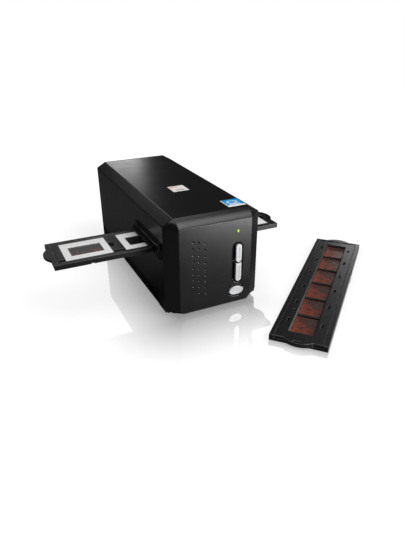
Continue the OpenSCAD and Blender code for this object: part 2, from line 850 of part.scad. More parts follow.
// Stem with the flange that keeps a button in its tub
module button_stem(x, z) {
    rod_y(x, z, stem_r, cap_back_y - eps, stem_end_y);
    rod_y(x, z, flange_r, flange_y, flange_y + flange_t);
}

// Groove down the middle of a scan button
module button_groove(z) {
    translate([cap_x, 0, z]) prism_y(cap_front_y - 1, cap_front_y + groove_d)
        pill(groove_w, scan_l - scan_w);
}

module upper_scan_button() color(silver) {
    difference() {
        translate([cap_x, 0, upper_z]) prism_y(cap_front_y, cap_back_y) pill(scan_w, scan_l);
        button_groove(upper_z);
    }
    button_stem(cap_x, upper_z);
}

module lower_scan_button() color(silver) {
    difference() {
        translate([cap_x, 0, lower_z]) prism_y(cap_front_y, cap_back_y) union() {
            pill(scan_w, scan_l);
            translate([-scan_w / 2, 0]) square([scan_w, cap_half + 1.5 * cap_gap]);
        }
        rod_y(cap_x, upper_z - cap_half + scan_w / 2, scan_w / 2 + cap_gap,
            cap_front_y - 1, cap_back_y + eps);
        button_groove(lower_z);
    }
    button_stem(cap_x, lower_z);
}

module power_button() color(silver) {
    difference() {
        translate([power_cap_x, 0, power_cap_z]) prism_y(cap_front_y, cap_back_y)
            polygon(oval(power_w / 2, power_h / 2));
        translate([power_cap_x, cap_front_y - dish_r + 4 * dish_d, power_cap_z])
            sphere(r = dish_r, $fn = 96);
    }
    button_stem(power_cap_x, power_cap_z);
}

module switch_plunger(i) color([0.2, 0.2, 0.2])
    rod_y(button_xz[i][0], button_xz[i][1], plunger_r, stem_end_y, plunger_end_y);

module switch_housings() color([0.15, 0.15, 0.16])
    for (p = button_xz) difference() {
        translate([p[0] - switch_side / 2, switch_y, p[1] - switch_side / 2])
            cube([switch_side, switch_t, switch_side]);
        rod_y(p[0], p[1], plunger_r + run_gap, switch_y - 1, plunger_end_y + button_travel + 0.3);
    }

module button_board() color(board_green) difference() {
    box([board_left_x, board_y, board_low_z], [board_right_x, board_back_y, board_high_z]);
    for (p = post_xz) rod_y(p[0], p[1], small_screw_r + 0.2, board_y - 1, board_back_y + 1);
}

module board_screws() color(steel)
    for (p = post_xz) {
        rod_y(p[0], p[1], small_head_r, board_back_y, board_back_y + small_head_t);
        rod_y(p[0], p[1], small_screw_r, board_y - small_screw_l, board_back_y + eps);
    }

module status_led() color([0.75, 0.85, 0.3])
    rod_y(led_x, led_z, led_d / 2 - led_gap, board_y - led_l, board_y);

module led_light_pipe() color([0.72, 0.82, 0.25]) {
    rod_y(led_x, led_z, led_d / 2, front_y - led_gap, board_y - led_l - led_gap);
    rod_y(led_x, led_z, led_d / 2 + 1, front_y + wall, front_y + wall + 1);
}

// ---- Scanning unit ----

module scan_chassis() color(inner_black) difference() {
    union() {
        box([-chassis_half_w, chassis_front_y, chassis_z], [chassis_half_w, chassis_back_y, chassis_top_z]);
        for (y = [chassis_front_y, chassis_back_y - plate_t])
            box([-rod_x - plate_side, y, chassis_top_z - eps],
                [rod_x + plate_side, y + plate_t, chassis_wall_z]);
    }
    for (x = [-rod_x, rod_x]) rod_y(x, rod_z, rod_r + eps, chassis_front_y - 1, chassis_back_y + 1);
    rod_y(screw_x, screw_z, screw_r + bearing_t + eps, chassis_front_y - 1, chassis_back_y + 1);
    for (x = [-chassis_screw_x, chassis_screw_x]) for (y = chassis_screw_y)
        translate([x, y, chassis_z - 1]) cylinder(r = case_screw_r + 0.2, h = chassis_t + 2);
    for (x = [-leg_x, leg_x]) for (y = [slot_y - leg_y, slot_y + leg_y])
        translate([x, y, chassis_z - 1]) cylinder(r = case_screw_r + 0.2, h = chassis_t + 2);
}

module chassis_screws() color(steel)
    for (x = [-chassis_screw_x, chassis_screw_x]) for (y = chassis_screw_y) {
        translate([x, y, chassis_top_z]) cylinder(r = case_head_r, h = case_head_t);
        translate([x, y, tray_top_z]) cylinder(r = case_screw_r, h = chassis_top_z - tray_top_z + eps);
    }

module film_track() color(inner_black) {
    difference() {
        union() {
            box([-track_half_l, slot_y - track_half, track_z - track_t],
                [track_half_l, slot_y + track_half, track_z]);
            for (end = [0, 1]) translate([0, slot_y, 0]) mirror([0, end, 0]) track_fence();
        }
        box([-head_half_w + rib_h, scan_y - scan_travel - light_gap, track_z - track_t - 1],
            [head_half_w - rib_h, scan_y + light_gap, track_z + 1]);
        box([-spring_room, slot_y - track_half - 1, slot_z + 0.4],
            [spring_room, slot_y - track_half + fence_t + 0.1, spring_low_z + spring_h + 0.4]);
    }
    for (x = [-leg_x, leg_x]) for (y = [slot_y - leg_y, slot_y + leg_y]) difference() {
        translate([x, y, chassis_top_z]) cylinder(r = leg_r, h = track_z - track_t - chassis_top_z + eps);
        translate([x, y, chassis_top_z - 1]) cylinder(r = case_screw_r + eps, h = leg_bore_l + 1);
    }
}

// Fence beside the film holder, with a lip over its rail and guides that reach into both slots
module track_fence() {
    box([-track_half_l, -track_half, track_z - eps], [track_half_l, -track_half + fence_t, fence_top_z]);
    box([-track_half_l, -track_half + fence_t - eps, keeper_z],
        [track_half_l, -track_half + fence_t + fence_gap + keeper_w, fence_top_z]);
    box([-half_w, -track_half, track_z], [half_w, -track_half + fence_t, track_z + guide_h]);
}

module track_screws() color(steel)
    for (x = [-leg_x, leg_x]) for (y = [slot_y - leg_y, slot_y + leg_y]) {
        translate([x, y, chassis_z - case_head_t]) cylinder(r = case_head_r, h = case_head_t);
        translate([x, y, chassis_z - eps]) cylinder(r = case_screw_r, h = chassis_t + track_screw_l);
    }

// Leaf spring whose nose points at the detent notches of the slide holder
module detent_spring() color(steel) {
    y = slot_y - track_half;
    high_z = spring_low_z + spring_h;
    box([-spring_half_l, y - 0.5, spring_low_z], [spring_half_l, y, high_z]);
    box([-spring_half_w, y - 0.1, spring_low_z], [spring_half_w, y + fence_t - 0.2, high_z]);
    translate([0, y + fence_t - 0.4, spring_low_z]) cylinder(r = spring_nose_r, h = spring_h);
}

module guide_rod(side) color(steel)
    rod_y(side * rod_x, rod_z, rod_r, chassis_front_y, chassis_back_y);

module lead_screw() color(steel)
    rod_y(screw_x, screw_z, screw_r, chassis_front_y - 1, chassis_back_y + motor_bore_l - 1);

module screw_bearings() color([0.7, 0.55, 0.3])
    for (y = [chassis_front_y, chassis_back_y - plate_t]) difference() {
        rod_y(screw_x, screw_z, screw_r + bearing_t, y, y + plate_t);
        rod_y(screw_x, screw_z, screw_r + run_gap, y - 1, y + plate_t + 1);
    }

module stepper_motor() color([0.6, 0.61, 0.63]) difference() {
    union() {
        rod_y(screw_x, screw_z, motor_r, chassis_back_y, chassis_back_y + motor_l);
        box([screw_x - motor_r - motor_ear, chassis_back_y, screw_z - motor_ear],
            [screw_x + motor_r + motor_ear, chassis_back_y + 1, screw_z + motor_ear]);
    }
    rod_y(screw_x, screw_z, screw_r + run_gap, chassis_back_y - 1, chassis_back_y + motor_bore_l);
}

// Lug that runs on a guide rod
module head_lug(side, y) {
    difference() {
        box([side > 0 ? head_half_w - eps : -rod_x - lug_half, y, rod_z - lug_half],
            [side > 0 ? rod_x + lug_half : -head_half_w + eps, y + lug_len, rod_z + lug_half]);
        rod_y(side * rod_x, rod_z, rod_r + run_gap, y - 1, y + lug_len + 1);
    }
}

module carriage_housing() color(inner_black) {
    difference() {
        box([-head_half_w, head_front_y, head_low_z], [head_half_w, head_back_y, head_high_z]);
        difference() {
            box([-head_half_w + head_wall, head_front_y + head_wall, head_low_z + head_wall],
                [head_half_w - head_wall, head_back_y - head_wall, head_high_z + 1]);
            // Bulkhead that holds the lens
            box([-head_half_w, bulkhead_y, head_low_z],
                [head_half_w, bulkhead_y + bulkhead_t, lens_z + lens_r + lens_wall]);
            // Ribs that hold the mirror
            for (side = [-1, 1]) on_side(side) mirror_rib();
        }
        rod_y(0, lens_z, lens_r + eps, lens_y, bulkhead_y + bulkhead_t + 1);
        box([-chip_half_w - chip_gap, head_back_y - head_wall - 1, lens_z - chip_half_h - chip_gap],
            [chip_half_w + chip_gap, head_back_y + 1, lens_z + chip_half_h + chip_gap]);
    }
    for (side = [-1, 1]) for (y = [head_front_y + lug_front, head_back_y - lug_len - lug_back])
        head_lug(side, y);
}

// Rib under each end of the mirror, sloping at 45 degrees
module mirror_rib() {
    prism_x(-head_half_w + head_wall - eps, -head_half_w + head_wall + rib_t)
        translate([scan_y, lens_z]) rotate(45) translate([-mirror_l / 2, -mirror_seat - rib_h])
            square([mirror_l, rib_h]);
}

module carriage_lid() color(inner_black) difference() {
    box([-head_half_w, head_front_y, head_high_z], [head_half_w, head_back_y, head_lid_z]);
    box([-lid_slot_half_w, scan_y - lid_slot_half_l, head_high_z - 1],
        [lid_slot_half_w, scan_y + lid_slot_half_l, head_lid_z + 1]);
}

module carriage_nut() color([0.85, 0.85, 0.8]) {
    back = head_back_y - nut_back;
    difference() {
        box([screw_x - nut_half_w, back - nut_l, screw_z - nut_below],
            [screw_x + nut_half_w, back, head_low_z]);
        rod_y(screw_x, screw_z, screw_r + run_gap, back - nut_l - 1, back + 1);
    }
}

module folding_mirror() color([0.75, 0.8, 0.85])
    prism_x(-head_half_w + head_wall, head_half_w - head_wall)
        translate([scan_y, lens_z]) rotate(45) translate([-mirror_l / 2, -mirror_seat])
            square([mirror_l, mirror_t]);

module lens_barrel() color([0.2, 0.2, 0.22]) difference() {
    rod_y(0, lens_z, lens_r, lens_y, lens_y + lens_l);
    rod_y(0, lens_z, lens_r - lens_wall, lens_y - 1, lens_y + lens_rim);
    rod_y(0, lens_z, lens_r - lens_wall, lens_y + lens_l - lens_rim, lens_y + lens_l + 1);
}

module sensor_board() color(board_green) {
    box([-sensor_half_w, head_back_y, lens_z - sensor_half_h],
        [sensor_half_w, head_back_y + board_t, lens_z + sensor_half_h]);
    box([-chip_half_w, head_back_y - chip_t, lens_z - chip_half_h],
        [chip_half_w, head_back_y + eps, lens_z + chip_half_h]);
    box([cable_x + connector_in, head_back_y + board_t - eps, cable_z - connector_l / 2],
        [cable_x + connector_in + cable_w, head_back_y + board_t + connector_t, cable_z + connector_l / 2]);
}

module lamp_arm() color(inner_black) {
    box([-head_half_w, arm_y - arm_foot_front, head_lid_z],
        [head_half_w, arm_y + arm_foot_l, head_lid_z + arm_t]);
    box([-head_half_w, arm_y, head_lid_z + arm_t - eps], [head_half_w, arm_y + arm_t, arm_z + arm_t]);
    box([-head_half_w, scan_y - lamp_half - 1, arm_z], [head_half_w, arm_y + arm_t, arm_z + arm_t]);
}

module lamp_housing() color([0.3, 0.3, 0.32]) difference() {
    box([-lamp_half_w, scan_y - lamp_half, lamp_z], [lamp_half_w, scan_y + lamp_half, arm_z]);
    box([-lamp_half_w + lamp_wall, scan_y - lamp_half + lamp_wall, lamp_z - 1],
        [lamp_half_w - lamp_wall, scan_y + lamp_half - lamp_wall, arm_z - lamp_wall]);
}

module lamp_diffuser() color([0.95, 0.95, 0.92])
    box([-lamp_half_w + lamp_wall, scan_y - lamp_half + lamp_wall, lamp_z],
        [lamp_half_w - lamp_wall, scan_y + lamp_half - lamp_wall, lamp_z + lamp_wall]);

module main_board() color(board_green) {
    box([pcb_left_x, pcb_y, pcb_z], [pcb_right_x, pcb_back_y, pcb_z + board_t]);
    box([cable_x, pcb_y + connector_in - cable_t, socket_z - eps],
        [cable_x + cable_w, pcb_y + connector_in + connector_l, socket_z + connector_t]);
    box([pcb_left_x + pcb_chip_in, pcb_y + pcb_chip_in, socket_z - eps],
        [pcb_left_x + pcb_chip_in + pcb_chip, pcb_y + pcb_chip_in + pcb_chip, socket_z + pcb_chip_t]);
}

module usb_socket() color(steel) difference() {
    box([usb_x - usb_w / 2, pcb_back_y - usb_l, socket_z],
        [usb_x + usb_w / 2, socket_end_y, socket_z + usb_h]);
    box([usb_x - usb_open_w / 2, socket_end_y - usb_open_d, socket_z + (usb_h - usb_open_h) / 2],
        [usb_x + usb_open_w / 2, socket_end_y + 1, socket_z + (usb_h + usb_open_h) / 2]);
}

module power_socket() color([0.1, 0.1, 0.1]) {
    difference() {
        box([jack_x - jack_w / 2, pcb_back_y - jack_l, socket_z],
            [jack_x + jack_w / 2, socket_end_y, socket_z + jack_h]);
        rod_y(jack_x, socket_z + jack_h / 2, jack_r, socket_end_y - jack_d, socket_end_y + 1);
    }
    rod_y(jack_x, socket_z + jack_h / 2, jack_pin_r, socket_end_y - jack_d - eps, socket_end_y - 1);
}

// Flat cable from the main board up and forward to the sensor board
module flat_cable() color([0.85, 0.85, 0.82]) {
    from_y = head_back_y + board_t + connector_t + socket_gap;
    to_y = pcb_y + connector_in;
    translate([cable_x, 0, 0]) {
        prism_x(0, cable_w) translate([to_y - cable_bend, cable_z - cable_bend]) intersection() {
            difference() {
                circle(cable_bend);
                circle(cable_bend - cable_t);
            }
            square(cable_bend);
        }
        box([connector_in, from_y, cable_z - cable_t], [cable_w, to_y - cable_bend + eps, cable_z]);
        box([0, to_y - cable_t, socket_z + connector_t], [cable_w, to_y, cable_z - cable_bend + eps]);
    }
}

// ---- Slide holder ----

// Rounded tab on a holder's end, drawn towards -x from x = 0
module end_tab(reach, t) {
    r = (tab_w * tab_w / 4 + reach * reach) / (2 * reach);
    intersection() {
        translate([r - reach, 0, 0]) cylinder(r = r, h = t, $fn = 96);
        translate([-reach, -tab_w / 2, 0]) cube([reach + eps, tab_w, t]);
    }
}

function slide_x(i) = holder_x + slide_shift + (i - (slide_count - 1) / 2) * slide_pitch;

module slide_holder() color(holder_grey) translate([0, slot_y, slot_z]) {
    pocket = mount_side + 2 * mount_gap;
    opening = pocket - 2 * ledge_w;
    open_w = pocket - 2 * rail_lip;
    bed_l = holder_l - 2 * end_rim;
    bed_z = slide_holder_t - bed_drop;
    difference() {
        union() {
            translate([holder_x - holder_l / 2, -holder_w / 2, 0])
                cube([holder_l, holder_w, slide_holder_t]);
            translate([holder_x - holder_l / 2, 0, slide_holder_t - tab_t]) end_tab(tab_reach, tab_t);
            translate([holder_x + holder_l / 2, 0, slide_holder_t - tab_t]) mirror([1, 0, 0])
                end_tab(tab_reach, tab_t);
        }
        translate([holder_x - bed_l / 2, -pocket / 2, bed_z]) cube([bed_l, pocket, 1]);
        for (i = [0 : slide_count - 1]) translate([slide_x(i), 0, 0]) {
            // Channel for the framed slide under the rails' lips, and the opening between the lips
            translate([-pocket / 2, -pocket / 2, mount_z - slot_z])
                cube([pocket, pocket, mount_t + lip_gap]);
            translate([-pocket / 2, -open_w / 2, mount_z - slot_z]) cube([pocket, open_w, slide_holder_t]);
            translate([-opening / 2, -opening / 2, -1]) cube([opening, opening, slide_holder_t + 2]);
            translate([pocket / 2, 0, notch_floor_t]) cylinder(r = finger_r, h = slide_holder_t);
            translate([pocket / 2, 0, bed_z - notch_ring / 2])
                cylinder(r = finger_r + notch_ring, h = slide_holder_t);
            translate([-notch_w / 2, -holder_w / 2 - 1, -1]) cube([notch_w, notch_d + 1, notch_h + 1]);
        }
        for (end = [-1, 1]) translate([holder_x + end * (bed_l - bed_groove_w) / 2, 0, bed_z])
            cube([bed_groove_w, pocket, 2 * bed_groove_d], center = true);
        for (side = [-1, 1]) translate([holder_x, side * (pocket - bed_groove_w) / 2, bed_z])
            cube([bed_l, bed_groove_w, 2 * rail_groove_d], center = true);
        // Slots at the near edge of the pads between and beside the slides
        for (i = [0 : slide_count]) {
            from_x = i == 0 ? holder_x - bed_l / 2 : slide_x(i - 1) + pocket / 2 - eps;
            to_x = i == slide_count ? holder_x + bed_l / 2 : slide_x(i) - pocket / 2 + eps;
            box([from_x, -open_w / 2, bed_z - pad_slot_d], [to_x, -open_w / 2 + pad_slot_w, bed_z + 1]);
        }
    }
}

module slide_mount(i) color([0.93, 0.93, 0.92]) translate([slide_x(i - 1), slot_y, mount_z]) difference() {
    translate([-mount_side / 2, -mount_side / 2, 0]) cube([mount_side, mount_side, mount_t]);
    translate([-picture_l / 2, -picture_w / 2, -1]) cube([picture_l, picture_w, mount_t + 2]);
}

module slide_films() color([0.25, 0.13, 0.09])
    for (i = [0 : slide_count - 1]) translate([slide_x(i), slot_y, mount_z + mount_t / 2])
        cube([picture_l, picture_w, film_t], center = true);

// ---- Strip holder, drawn about its own middle and laid on the desk ----

module on_desk() {
    translate([strip_x, strip_y, 0]) rotate([0, 0, strip_turn]) children();
}

function frame_x(i) = strip_shift + (i - (frame_count - 1) / 2) * frame_pitch;

// A rod across the strip holder, on its hinge line
module hinge_rod(r, half_l) {
    translate([strip_hinge_x, half_l, strip_hinge_z]) rotate([90, 0, 0]) cylinder(r = r, h = 2 * half_l);
}

module strip_holder_base() color(holder_grey) on_desk() {
    half_l = holder_l / 2;
    half = holder_w / 2;
    film_l = frame_count * frame_pitch;
    difference() {
        union() {
            box([-half_l, -half, 0], [half_l, half, strip_base_t]);
            for (side = [-1, 1]) mirror([0, side > 0 ? 1 : 0, 0])
                box([-half_l, -half, 0], [half_l, -half + strip_rim_w, strip_rim_z]);
            box([half_l - far_wall, -half, 0], [half_l, half, strip_rim_z]);
            translate([-half_l, 0, near_tab_low])
                end_tab(near_tab_reach, strip_base_t - near_tab_low);
            translate([half_l, 0, strip_rim_z - tab_t]) mirror([1, 0, 0]) end_tab(tab_reach, tab_t);
            // Rib on the right-hand edge
            box([bump_x - bump_l / 2, -half - bump_h, bump_low_z],
                [bump_x + bump_l / 2, -half + eps, strip_rim_z]);
            // Hook that the lid's latch slot drops over
            box([latch_x, -latch_w / 2 + latch_gap, strip_base_t - eps],
                [latch_x + latch_t - latch_gap, latch_w / 2 - latch_gap, strip_top_z - hook_drop]);
        }
        for (i = [0 : frame_count - 1]) translate([frame_x(i), 0, 0])
            box([-window_l / 2, -window_w / 2, -1], [window_l / 2, window_w / 2, strip_base_t + 1]);
        translate([strip_shift, 0, 0]) box([-film_l / 2 - 1, -film_w / 2 - 0.2, strip_film_z],
            [film_l / 2 + 1, film_w / 2 + 0.2, strip_base_t + 1]);
        // Room for the lid's knuckle, and the pin's bore
        hinge_rod(strip_knuckle_r + 0.6, half - strip_rim_w - 0.1);
        hinge_rod(strip_pin_r + eps, half - 0.5);
    }
}

// Trough in the lid with sloping walls, seen along the lid
module trough_outline() {
    low = window_w / 2;
    high = low + trough_slope;
    polygon([[-low, trough_z], [low, trough_z], [high, strip_top_z], [high, strip_top_z + 1],
        [-high, strip_top_z + 1], [-high, strip_top_z]]);
}

module strip_holder_lid() color(holder_grey) on_desk() {
    left = -holder_l / 2 + 0.3;
    half = strip_lid_w / 2;
    trough_l = (frame_count - 1) * frame_pitch + window_l;
    difference() {
        union() {
            box([left, -half, strip_lid_z], [strip_hinge_x, half, strip_top_z]);
            translate([left, 0, strip_lid_z]) end_tab(tab_reach, strip_lid_t);
            hinge_rod(strip_knuckle_r, half);
        }
        translate([strip_shift, 0, 0]) prism_x(-trough_l / 2, trough_l / 2) trough_outline();
        for (i = [0 : frame_count - 1]) translate([frame_x(i), 0, 0]) {
            box([-window_l / 2, -window_w / 2, strip_lid_z - 1], [window_l / 2, window_w / 2, strip_top_z]);
            for (side = [-1, 1]) translate([vent_shift, side * vent_y, 0])
                box([-vent_l / 2, -vent_w / 2, strip_lid_z - 1], [vent_l / 2, vent_w / 2, strip_top_z + 1]);
        }
        for (side = [-1, 1]) translate([mark_x, side * mark_y, strip_top_z - mark_d])
            cylinder(r = mark_r, h = 1, $fn = 16);
        box([latch_x - latch_gap, -latch_w / 2, strip_lid_z - 1],
            [latch_x + latch_t, latch_w / 2, strip_top_z + 1]);
        hinge_rod(strip_pin_r + run_gap, holder_w / 2);
    }
}

module strip_hinge_pin() color(steel) on_desk() hinge_rod(strip_pin_r, holder_w / 2 - 0.5);

module negative_strip() color([0.55, 0.24, 0.13]) on_desk() {
    film_l = frame_count * frame_pitch;
    translate([strip_shift - film_l / 2, -film_w / 2, strip_film_z]) cube([film_l, film_w, film_t]);
}

top_cover();
base_tray();
front_bezel();
rear_panel();
orange_label();
blue_label();
slot_hood(-1);  // left_slot_hood
slot_hood(1);  // right_slot_hood
dust_flap(-1);  // left_dust_flap
dust_flap(1);  // right_dust_flap
flap_pin(-1);  // left_flap_pin
flap_pin(1);  // right_flap_pin
scan_button_surround();
power_button_surround();
upper_scan_button();
lower_scan_button();
power_button();
switch_plunger(0);  // upper_switch_plunger
switch_plunger(1);  // lower_switch_plunger
switch_plunger(2);  // power_switch_plunger
switch_housings();
button_board();
board_screws();
status_led();
led_light_pipe();
case_screws();
rubber_feet();
scan_chassis();
chassis_screws();
film_track();
track_screws();
detent_spring();
guide_rod(-1);  // left_guide_rod
guide_rod(1);  // right_guide_rod
lead_screw();
screw_bearings();
stepper_motor();
carriage_housing();
carriage_lid();
carriage_nut();
folding_mirror();
lens_barrel();
sensor_board();
lamp_arm();
lamp_housing();
lamp_diffuser();
main_board();
usb_socket();
power_socket();
flat_cable();
slide_holder();
slide_mount(1);  // slide_mount_1
slide_mount(2);  // slide_mount_2
slide_mount(3);  // slide_mount_3
slide_mount(4);  // slide_mount_4
slide_films();
strip_holder_base();
strip_holder_lid();
strip_hinge_pin();
negative_strip();
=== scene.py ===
"""Dresses a desktop film scanner with its two film holders.

Run as a script, it loads the fixed frame of the part, adds every finish and shaped piece, and sets
up a plain studio. Lengths are metres unless a name ends in mm or a comment says millimetres.
"""

import json
import math

import bmesh
import bpy
from bpy.props import FloatProperty, FloatVectorProperty, IntProperty, PointerProperty, StringProperty
from mathutils import Matrix, Vector, kdtree


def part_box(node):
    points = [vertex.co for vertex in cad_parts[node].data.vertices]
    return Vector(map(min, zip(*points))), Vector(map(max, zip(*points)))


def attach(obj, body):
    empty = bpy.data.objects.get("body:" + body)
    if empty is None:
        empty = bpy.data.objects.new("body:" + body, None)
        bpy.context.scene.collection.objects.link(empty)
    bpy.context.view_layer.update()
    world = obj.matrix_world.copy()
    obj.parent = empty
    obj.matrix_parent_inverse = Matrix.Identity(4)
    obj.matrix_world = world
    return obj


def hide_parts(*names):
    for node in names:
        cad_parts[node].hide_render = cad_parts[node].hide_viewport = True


bl_info = {
    "name": "Film scanner dressing",
    "version": (1, 0, 0),
    "blender": (4, 5, 0),
    "location": "3D View > Sidebar > Film scanner",
    "description": "Shapes, finishes and studio for a desktop film scanner",
    "category": "Object",
}

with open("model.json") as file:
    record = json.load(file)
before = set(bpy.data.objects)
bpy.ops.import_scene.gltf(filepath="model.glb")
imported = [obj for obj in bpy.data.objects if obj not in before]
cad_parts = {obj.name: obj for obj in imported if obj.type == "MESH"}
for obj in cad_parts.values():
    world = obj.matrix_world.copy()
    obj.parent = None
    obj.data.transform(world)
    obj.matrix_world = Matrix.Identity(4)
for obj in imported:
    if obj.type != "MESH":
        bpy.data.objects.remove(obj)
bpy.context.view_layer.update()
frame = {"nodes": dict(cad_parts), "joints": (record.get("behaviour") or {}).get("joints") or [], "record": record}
NODES = frame["nodes"]
MM = 0.001

# The strip holder's lid swings on an axis that lies across the holder, which gives the holder's turn
LID_AXIS = next(joint["axis"] for joint in frame["joints"] if joint["name"] == "strip_lid_hinge")
STRIP_TURN = math.atan2(-LID_AXIS[0], LID_AXIS[1])
SLIDE_MOUNTS = [f"slide_mount_{i}" for i in (1, 2, 3, 4)]

# Film, all in millimetres: its width, the frames of the strip, and the row of holes along each edge
FILM_W = 35.0
FRAME_COUNT = 6
FRAME_PITCH = 39.6
HOLE_PITCH = 4.75
HOLE_ALONG = 2.0
HOLE_ACROSS = 2.8
HOLE_INSET = 2.0

# The slide holder: the gap between a mount and its pocket, on whose right wall the middle of a finger notch lies,
# how far the painted shade reaches from there, and how far below the top it starts
POCKET_GAP = 0.3 * MM
NOTCH_REACH = 6.2 * MM
NOTCH_RIM = 1.5 * MM
# The strip holder's trough: just over half its length and width, and how far below the top it starts
TROUGH_HALF_L = 121 * MM
TROUGH_HALF_W = 13.4 * MM
TROUGH_RIM = 0.2 * MM

# Points of a solid this close are one, and a fold this small, in degrees, is flat
WELD_GAP = 0.002 * MM
FLAT_FOLD = 1.0
# Folds in degrees: from which an edge is rounded, on most pieces and on the front cap, and from which
# its shading stays crisp
HARD_FOLD = 28.0
CAP_FOLD = 24.0
CRISP_FOLD = 48.0
# A rounded edge: its steps, the share of the room to the next edge and of its own extent that it may
# take, the spacing of the spots where that room is measured, and the least radius worth making
ROUND_STEPS = 3
ROOM_SHARE = 0.42
EXTENT_SHARE = 0.3
SPOT_STEP = 0.5 * MM
LEAST_ROUNDING = 0.02 * MM
# Cosine of the largest turn between two edges that still counts as one smooth line
SMOOTH_TURN = 0.8

# The floor: half its side, and how far below the feet it lies, so that the two don't flicker
FLOOR_HALF = 20.0
FLOOR_DROP = 0.3 * MM


# ---- Small tools ----


def middle_of(node):
    """The middle of a node's box at rest."""
    low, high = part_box(node)
    return (low + high) / 2


def on_desk(node):
    """The frame of a piece that lies as the strip holder does, with its long side along X."""
    middle = middle_of(node)
    return Matrix.Translation((middle.x, middle.y, 0.0)) @ Matrix.Rotation(STRIP_TURN, 4, "Z")


def linear(hex_colour):
    """An sRGB hex colour such as #2a2b2d as linear red, green, blue and alpha."""
    value = hex_colour.lstrip("#")
    parts = [int(value[i : i + 2], 16) / 255 for i in (0, 2, 4)]
    return tuple(c / 12.92 if c <= 0.04045 else ((c + 0.055) / 1.055) ** 2.4 for c in parts) + (1.0,)


def body_of(node):
    """The name of the body that a node belongs to."""
    groups = frame["record"]["behaviour"]["bodies"]
    return next(body for body, members in groups.items() if node in members)


def slot_of(node):
    """The material slot that the record gives a node."""
    return next(s["material_slot"] for s in frame["record"]["subparts"] if s["node"] == node)


def add(tree, kind, inputs=None, **settings):
    """Adds a node to a material. An input is a value, an output socket, or a node for its first output."""
    made = tree.nodes.new(kind)
    for key, value in settings.items():
        setattr(made, key, value)
    for key, value in (inputs or {}).items():
        if isinstance(value, bpy.types.Node):
            value = value.outputs[0]
        if isinstance(value, bpy.types.NodeSocket):
            tree.links.new(value, made.inputs[key])
        else:
            made.inputs[key].default_value = value
    return made


def new_material(name, colour, roughness, metallic=0.0, ior=1.5, **sockets):
    """A principled material whose constant values sit on the shader's own sockets."""
    mat = bpy.data.materials.new(name)
    mat.use_nodes = True
    tree = mat.node_tree
    shader = tree.nodes["Principled BSDF"]
    shader.inputs["Base Color"].default_value = linear(colour)
    shader.inputs["Roughness"].default_value = roughness
    shader.inputs["Metallic"].default_value = metallic
    if not metallic:
        shader.inputs["IOR"].default_value = ior
    for key, value in sockets.items():
        shader.inputs[key.replace("_", " ")].default_value = value
    return mat, tree, shader


def speckle(tree, size_mm, detail=3.0, stretch=(1.0, 1.0, 1.0), turn=(0.0, 0.0, 0.0), shift=0.0):
    """Random pattern of a real size, fixed to the object. Stretch gives longer specks along an axis."""
    where = add(tree, "ShaderNodeTexCoord")
    lie = add(tree, "ShaderNodeMapping", {"Vector": where.outputs["Object"], "Rotation": turn,
                                          "Location": (shift, shift, shift),
                                          "Scale": tuple(1 / s for s in stretch)})
    return add(tree, "ShaderNodeTexNoise", {"Vector": lie.outputs["Vector"], "Scale": 1 / (size_mm * MM),
                                            "Detail": detail, "Roughness": 0.6})


def relief(tree, shader, height, depth_mm):
    """Presses a height pattern into the surface."""
    bump = add(tree, "ShaderNodeBump", {"Height": height, "Strength": 1.0, "Distance": depth_mm * MM})
    tree.links.new(bump.outputs["Normal"], shader.inputs["Normal"])


def rough_from(tree, shader, pattern, low, high):
    """Lets the roughness run from low to high over the middle of a pattern."""
    span = add(tree, "ShaderNodeMapRange", {"Value": pattern, "From Min": 0.3, "From Max": 0.7,
                                            "To Min": low, "To Max": high})
    tree.links.new(span.outputs["Result"], shader.inputs["Roughness"])


def blend_colours(tree, pattern, stops):
    """Turns a pattern into colour, through stops of (place, hex colour)."""
    ramp = add(tree, "ShaderNodeValToRGB", {"Fac": pattern})
    marks = ramp.color_ramp.elements
    while len(marks) < len(stops):
        marks.new(0.5)
    for mark, (place, colour) in zip(marks, stops):
        mark.position = place
        mark.color = linear(colour)
    return ramp.outputs["Color"]


# ---- Finishes ----


def eroded_plastic(name, colour, wear_and_highlight_colour, roughness, grain_mm, depth_mm, level):
    """ABS from a spark-eroded mould, with a fine random grain and edges that hands have polished, whose paler
    colour is partly wear and partly a painted highlight.
    """
    mat, tree, shader = new_material(name, colour, roughness, Specular_IOR_Level=level)
    # The real grain is about 0.1 mm; it is drawn coarser so that it still breaks up a reflection
    relief(tree, shader, speckle(tree, grain_mm).outputs["Fac"], depth_mm)
    wear_and_highlight = add(tree, "ShaderNodeAttribute", attribute_name="wear_and_highlight").outputs["Fac"]
    patches = speckle(tree, 9.0, detail=5.0)
    share = add(tree, "ShaderNodeMath", {0: wear_and_highlight, 1: patches.outputs["Fac"]}, operation="MULTIPLY")
    # Rounded strips take the paler colour in patches: partly wear, partly a painted highlight along the edges
    tone = add(tree, "ShaderNodeMix", {"Factor": share, 6: linear(colour), 7: linear(wear_and_highlight_colour)},
               data_type="RGBA")
    tree.links.new(tone.outputs[2], shader.inputs["Base Color"])
    haze = speckle(tree, 24.0, detail=4.0, shift=0.3)
    matt = add(tree, "ShaderNodeMapRange", {"Value": haze.outputs["Fac"], "From Min": 0.3, "From Max": 0.7,
                                            "To Min": roughness - 0.03, "To Max": roughness + 0.03})
    # An edge is half as rough as the sides beside it
    polish = add(tree, "ShaderNodeMath", {0: wear_and_highlight, 1: -0.5, 2: 1.0}, operation="MULTIPLY_ADD")
    gloss = add(tree, "ShaderNodeMath", {0: matt, 1: polish}, operation="MULTIPLY")
    tree.links.new(gloss.outputs[0], shader.inputs["Roughness"])
    return mat


def casing_abs():
    """Spark-eroded black ABS: an even satin black that takes soft, wide reflections."""
    # The second colour, on the rounded edges, is partly wear and partly a painted highlight
    return eroded_plastic("abs_spark_eroded_black", "#101011", "#2a2a2b", roughness=0.32, grain_mm=0.5,
                          depth_mm=0.004, level=0.4)


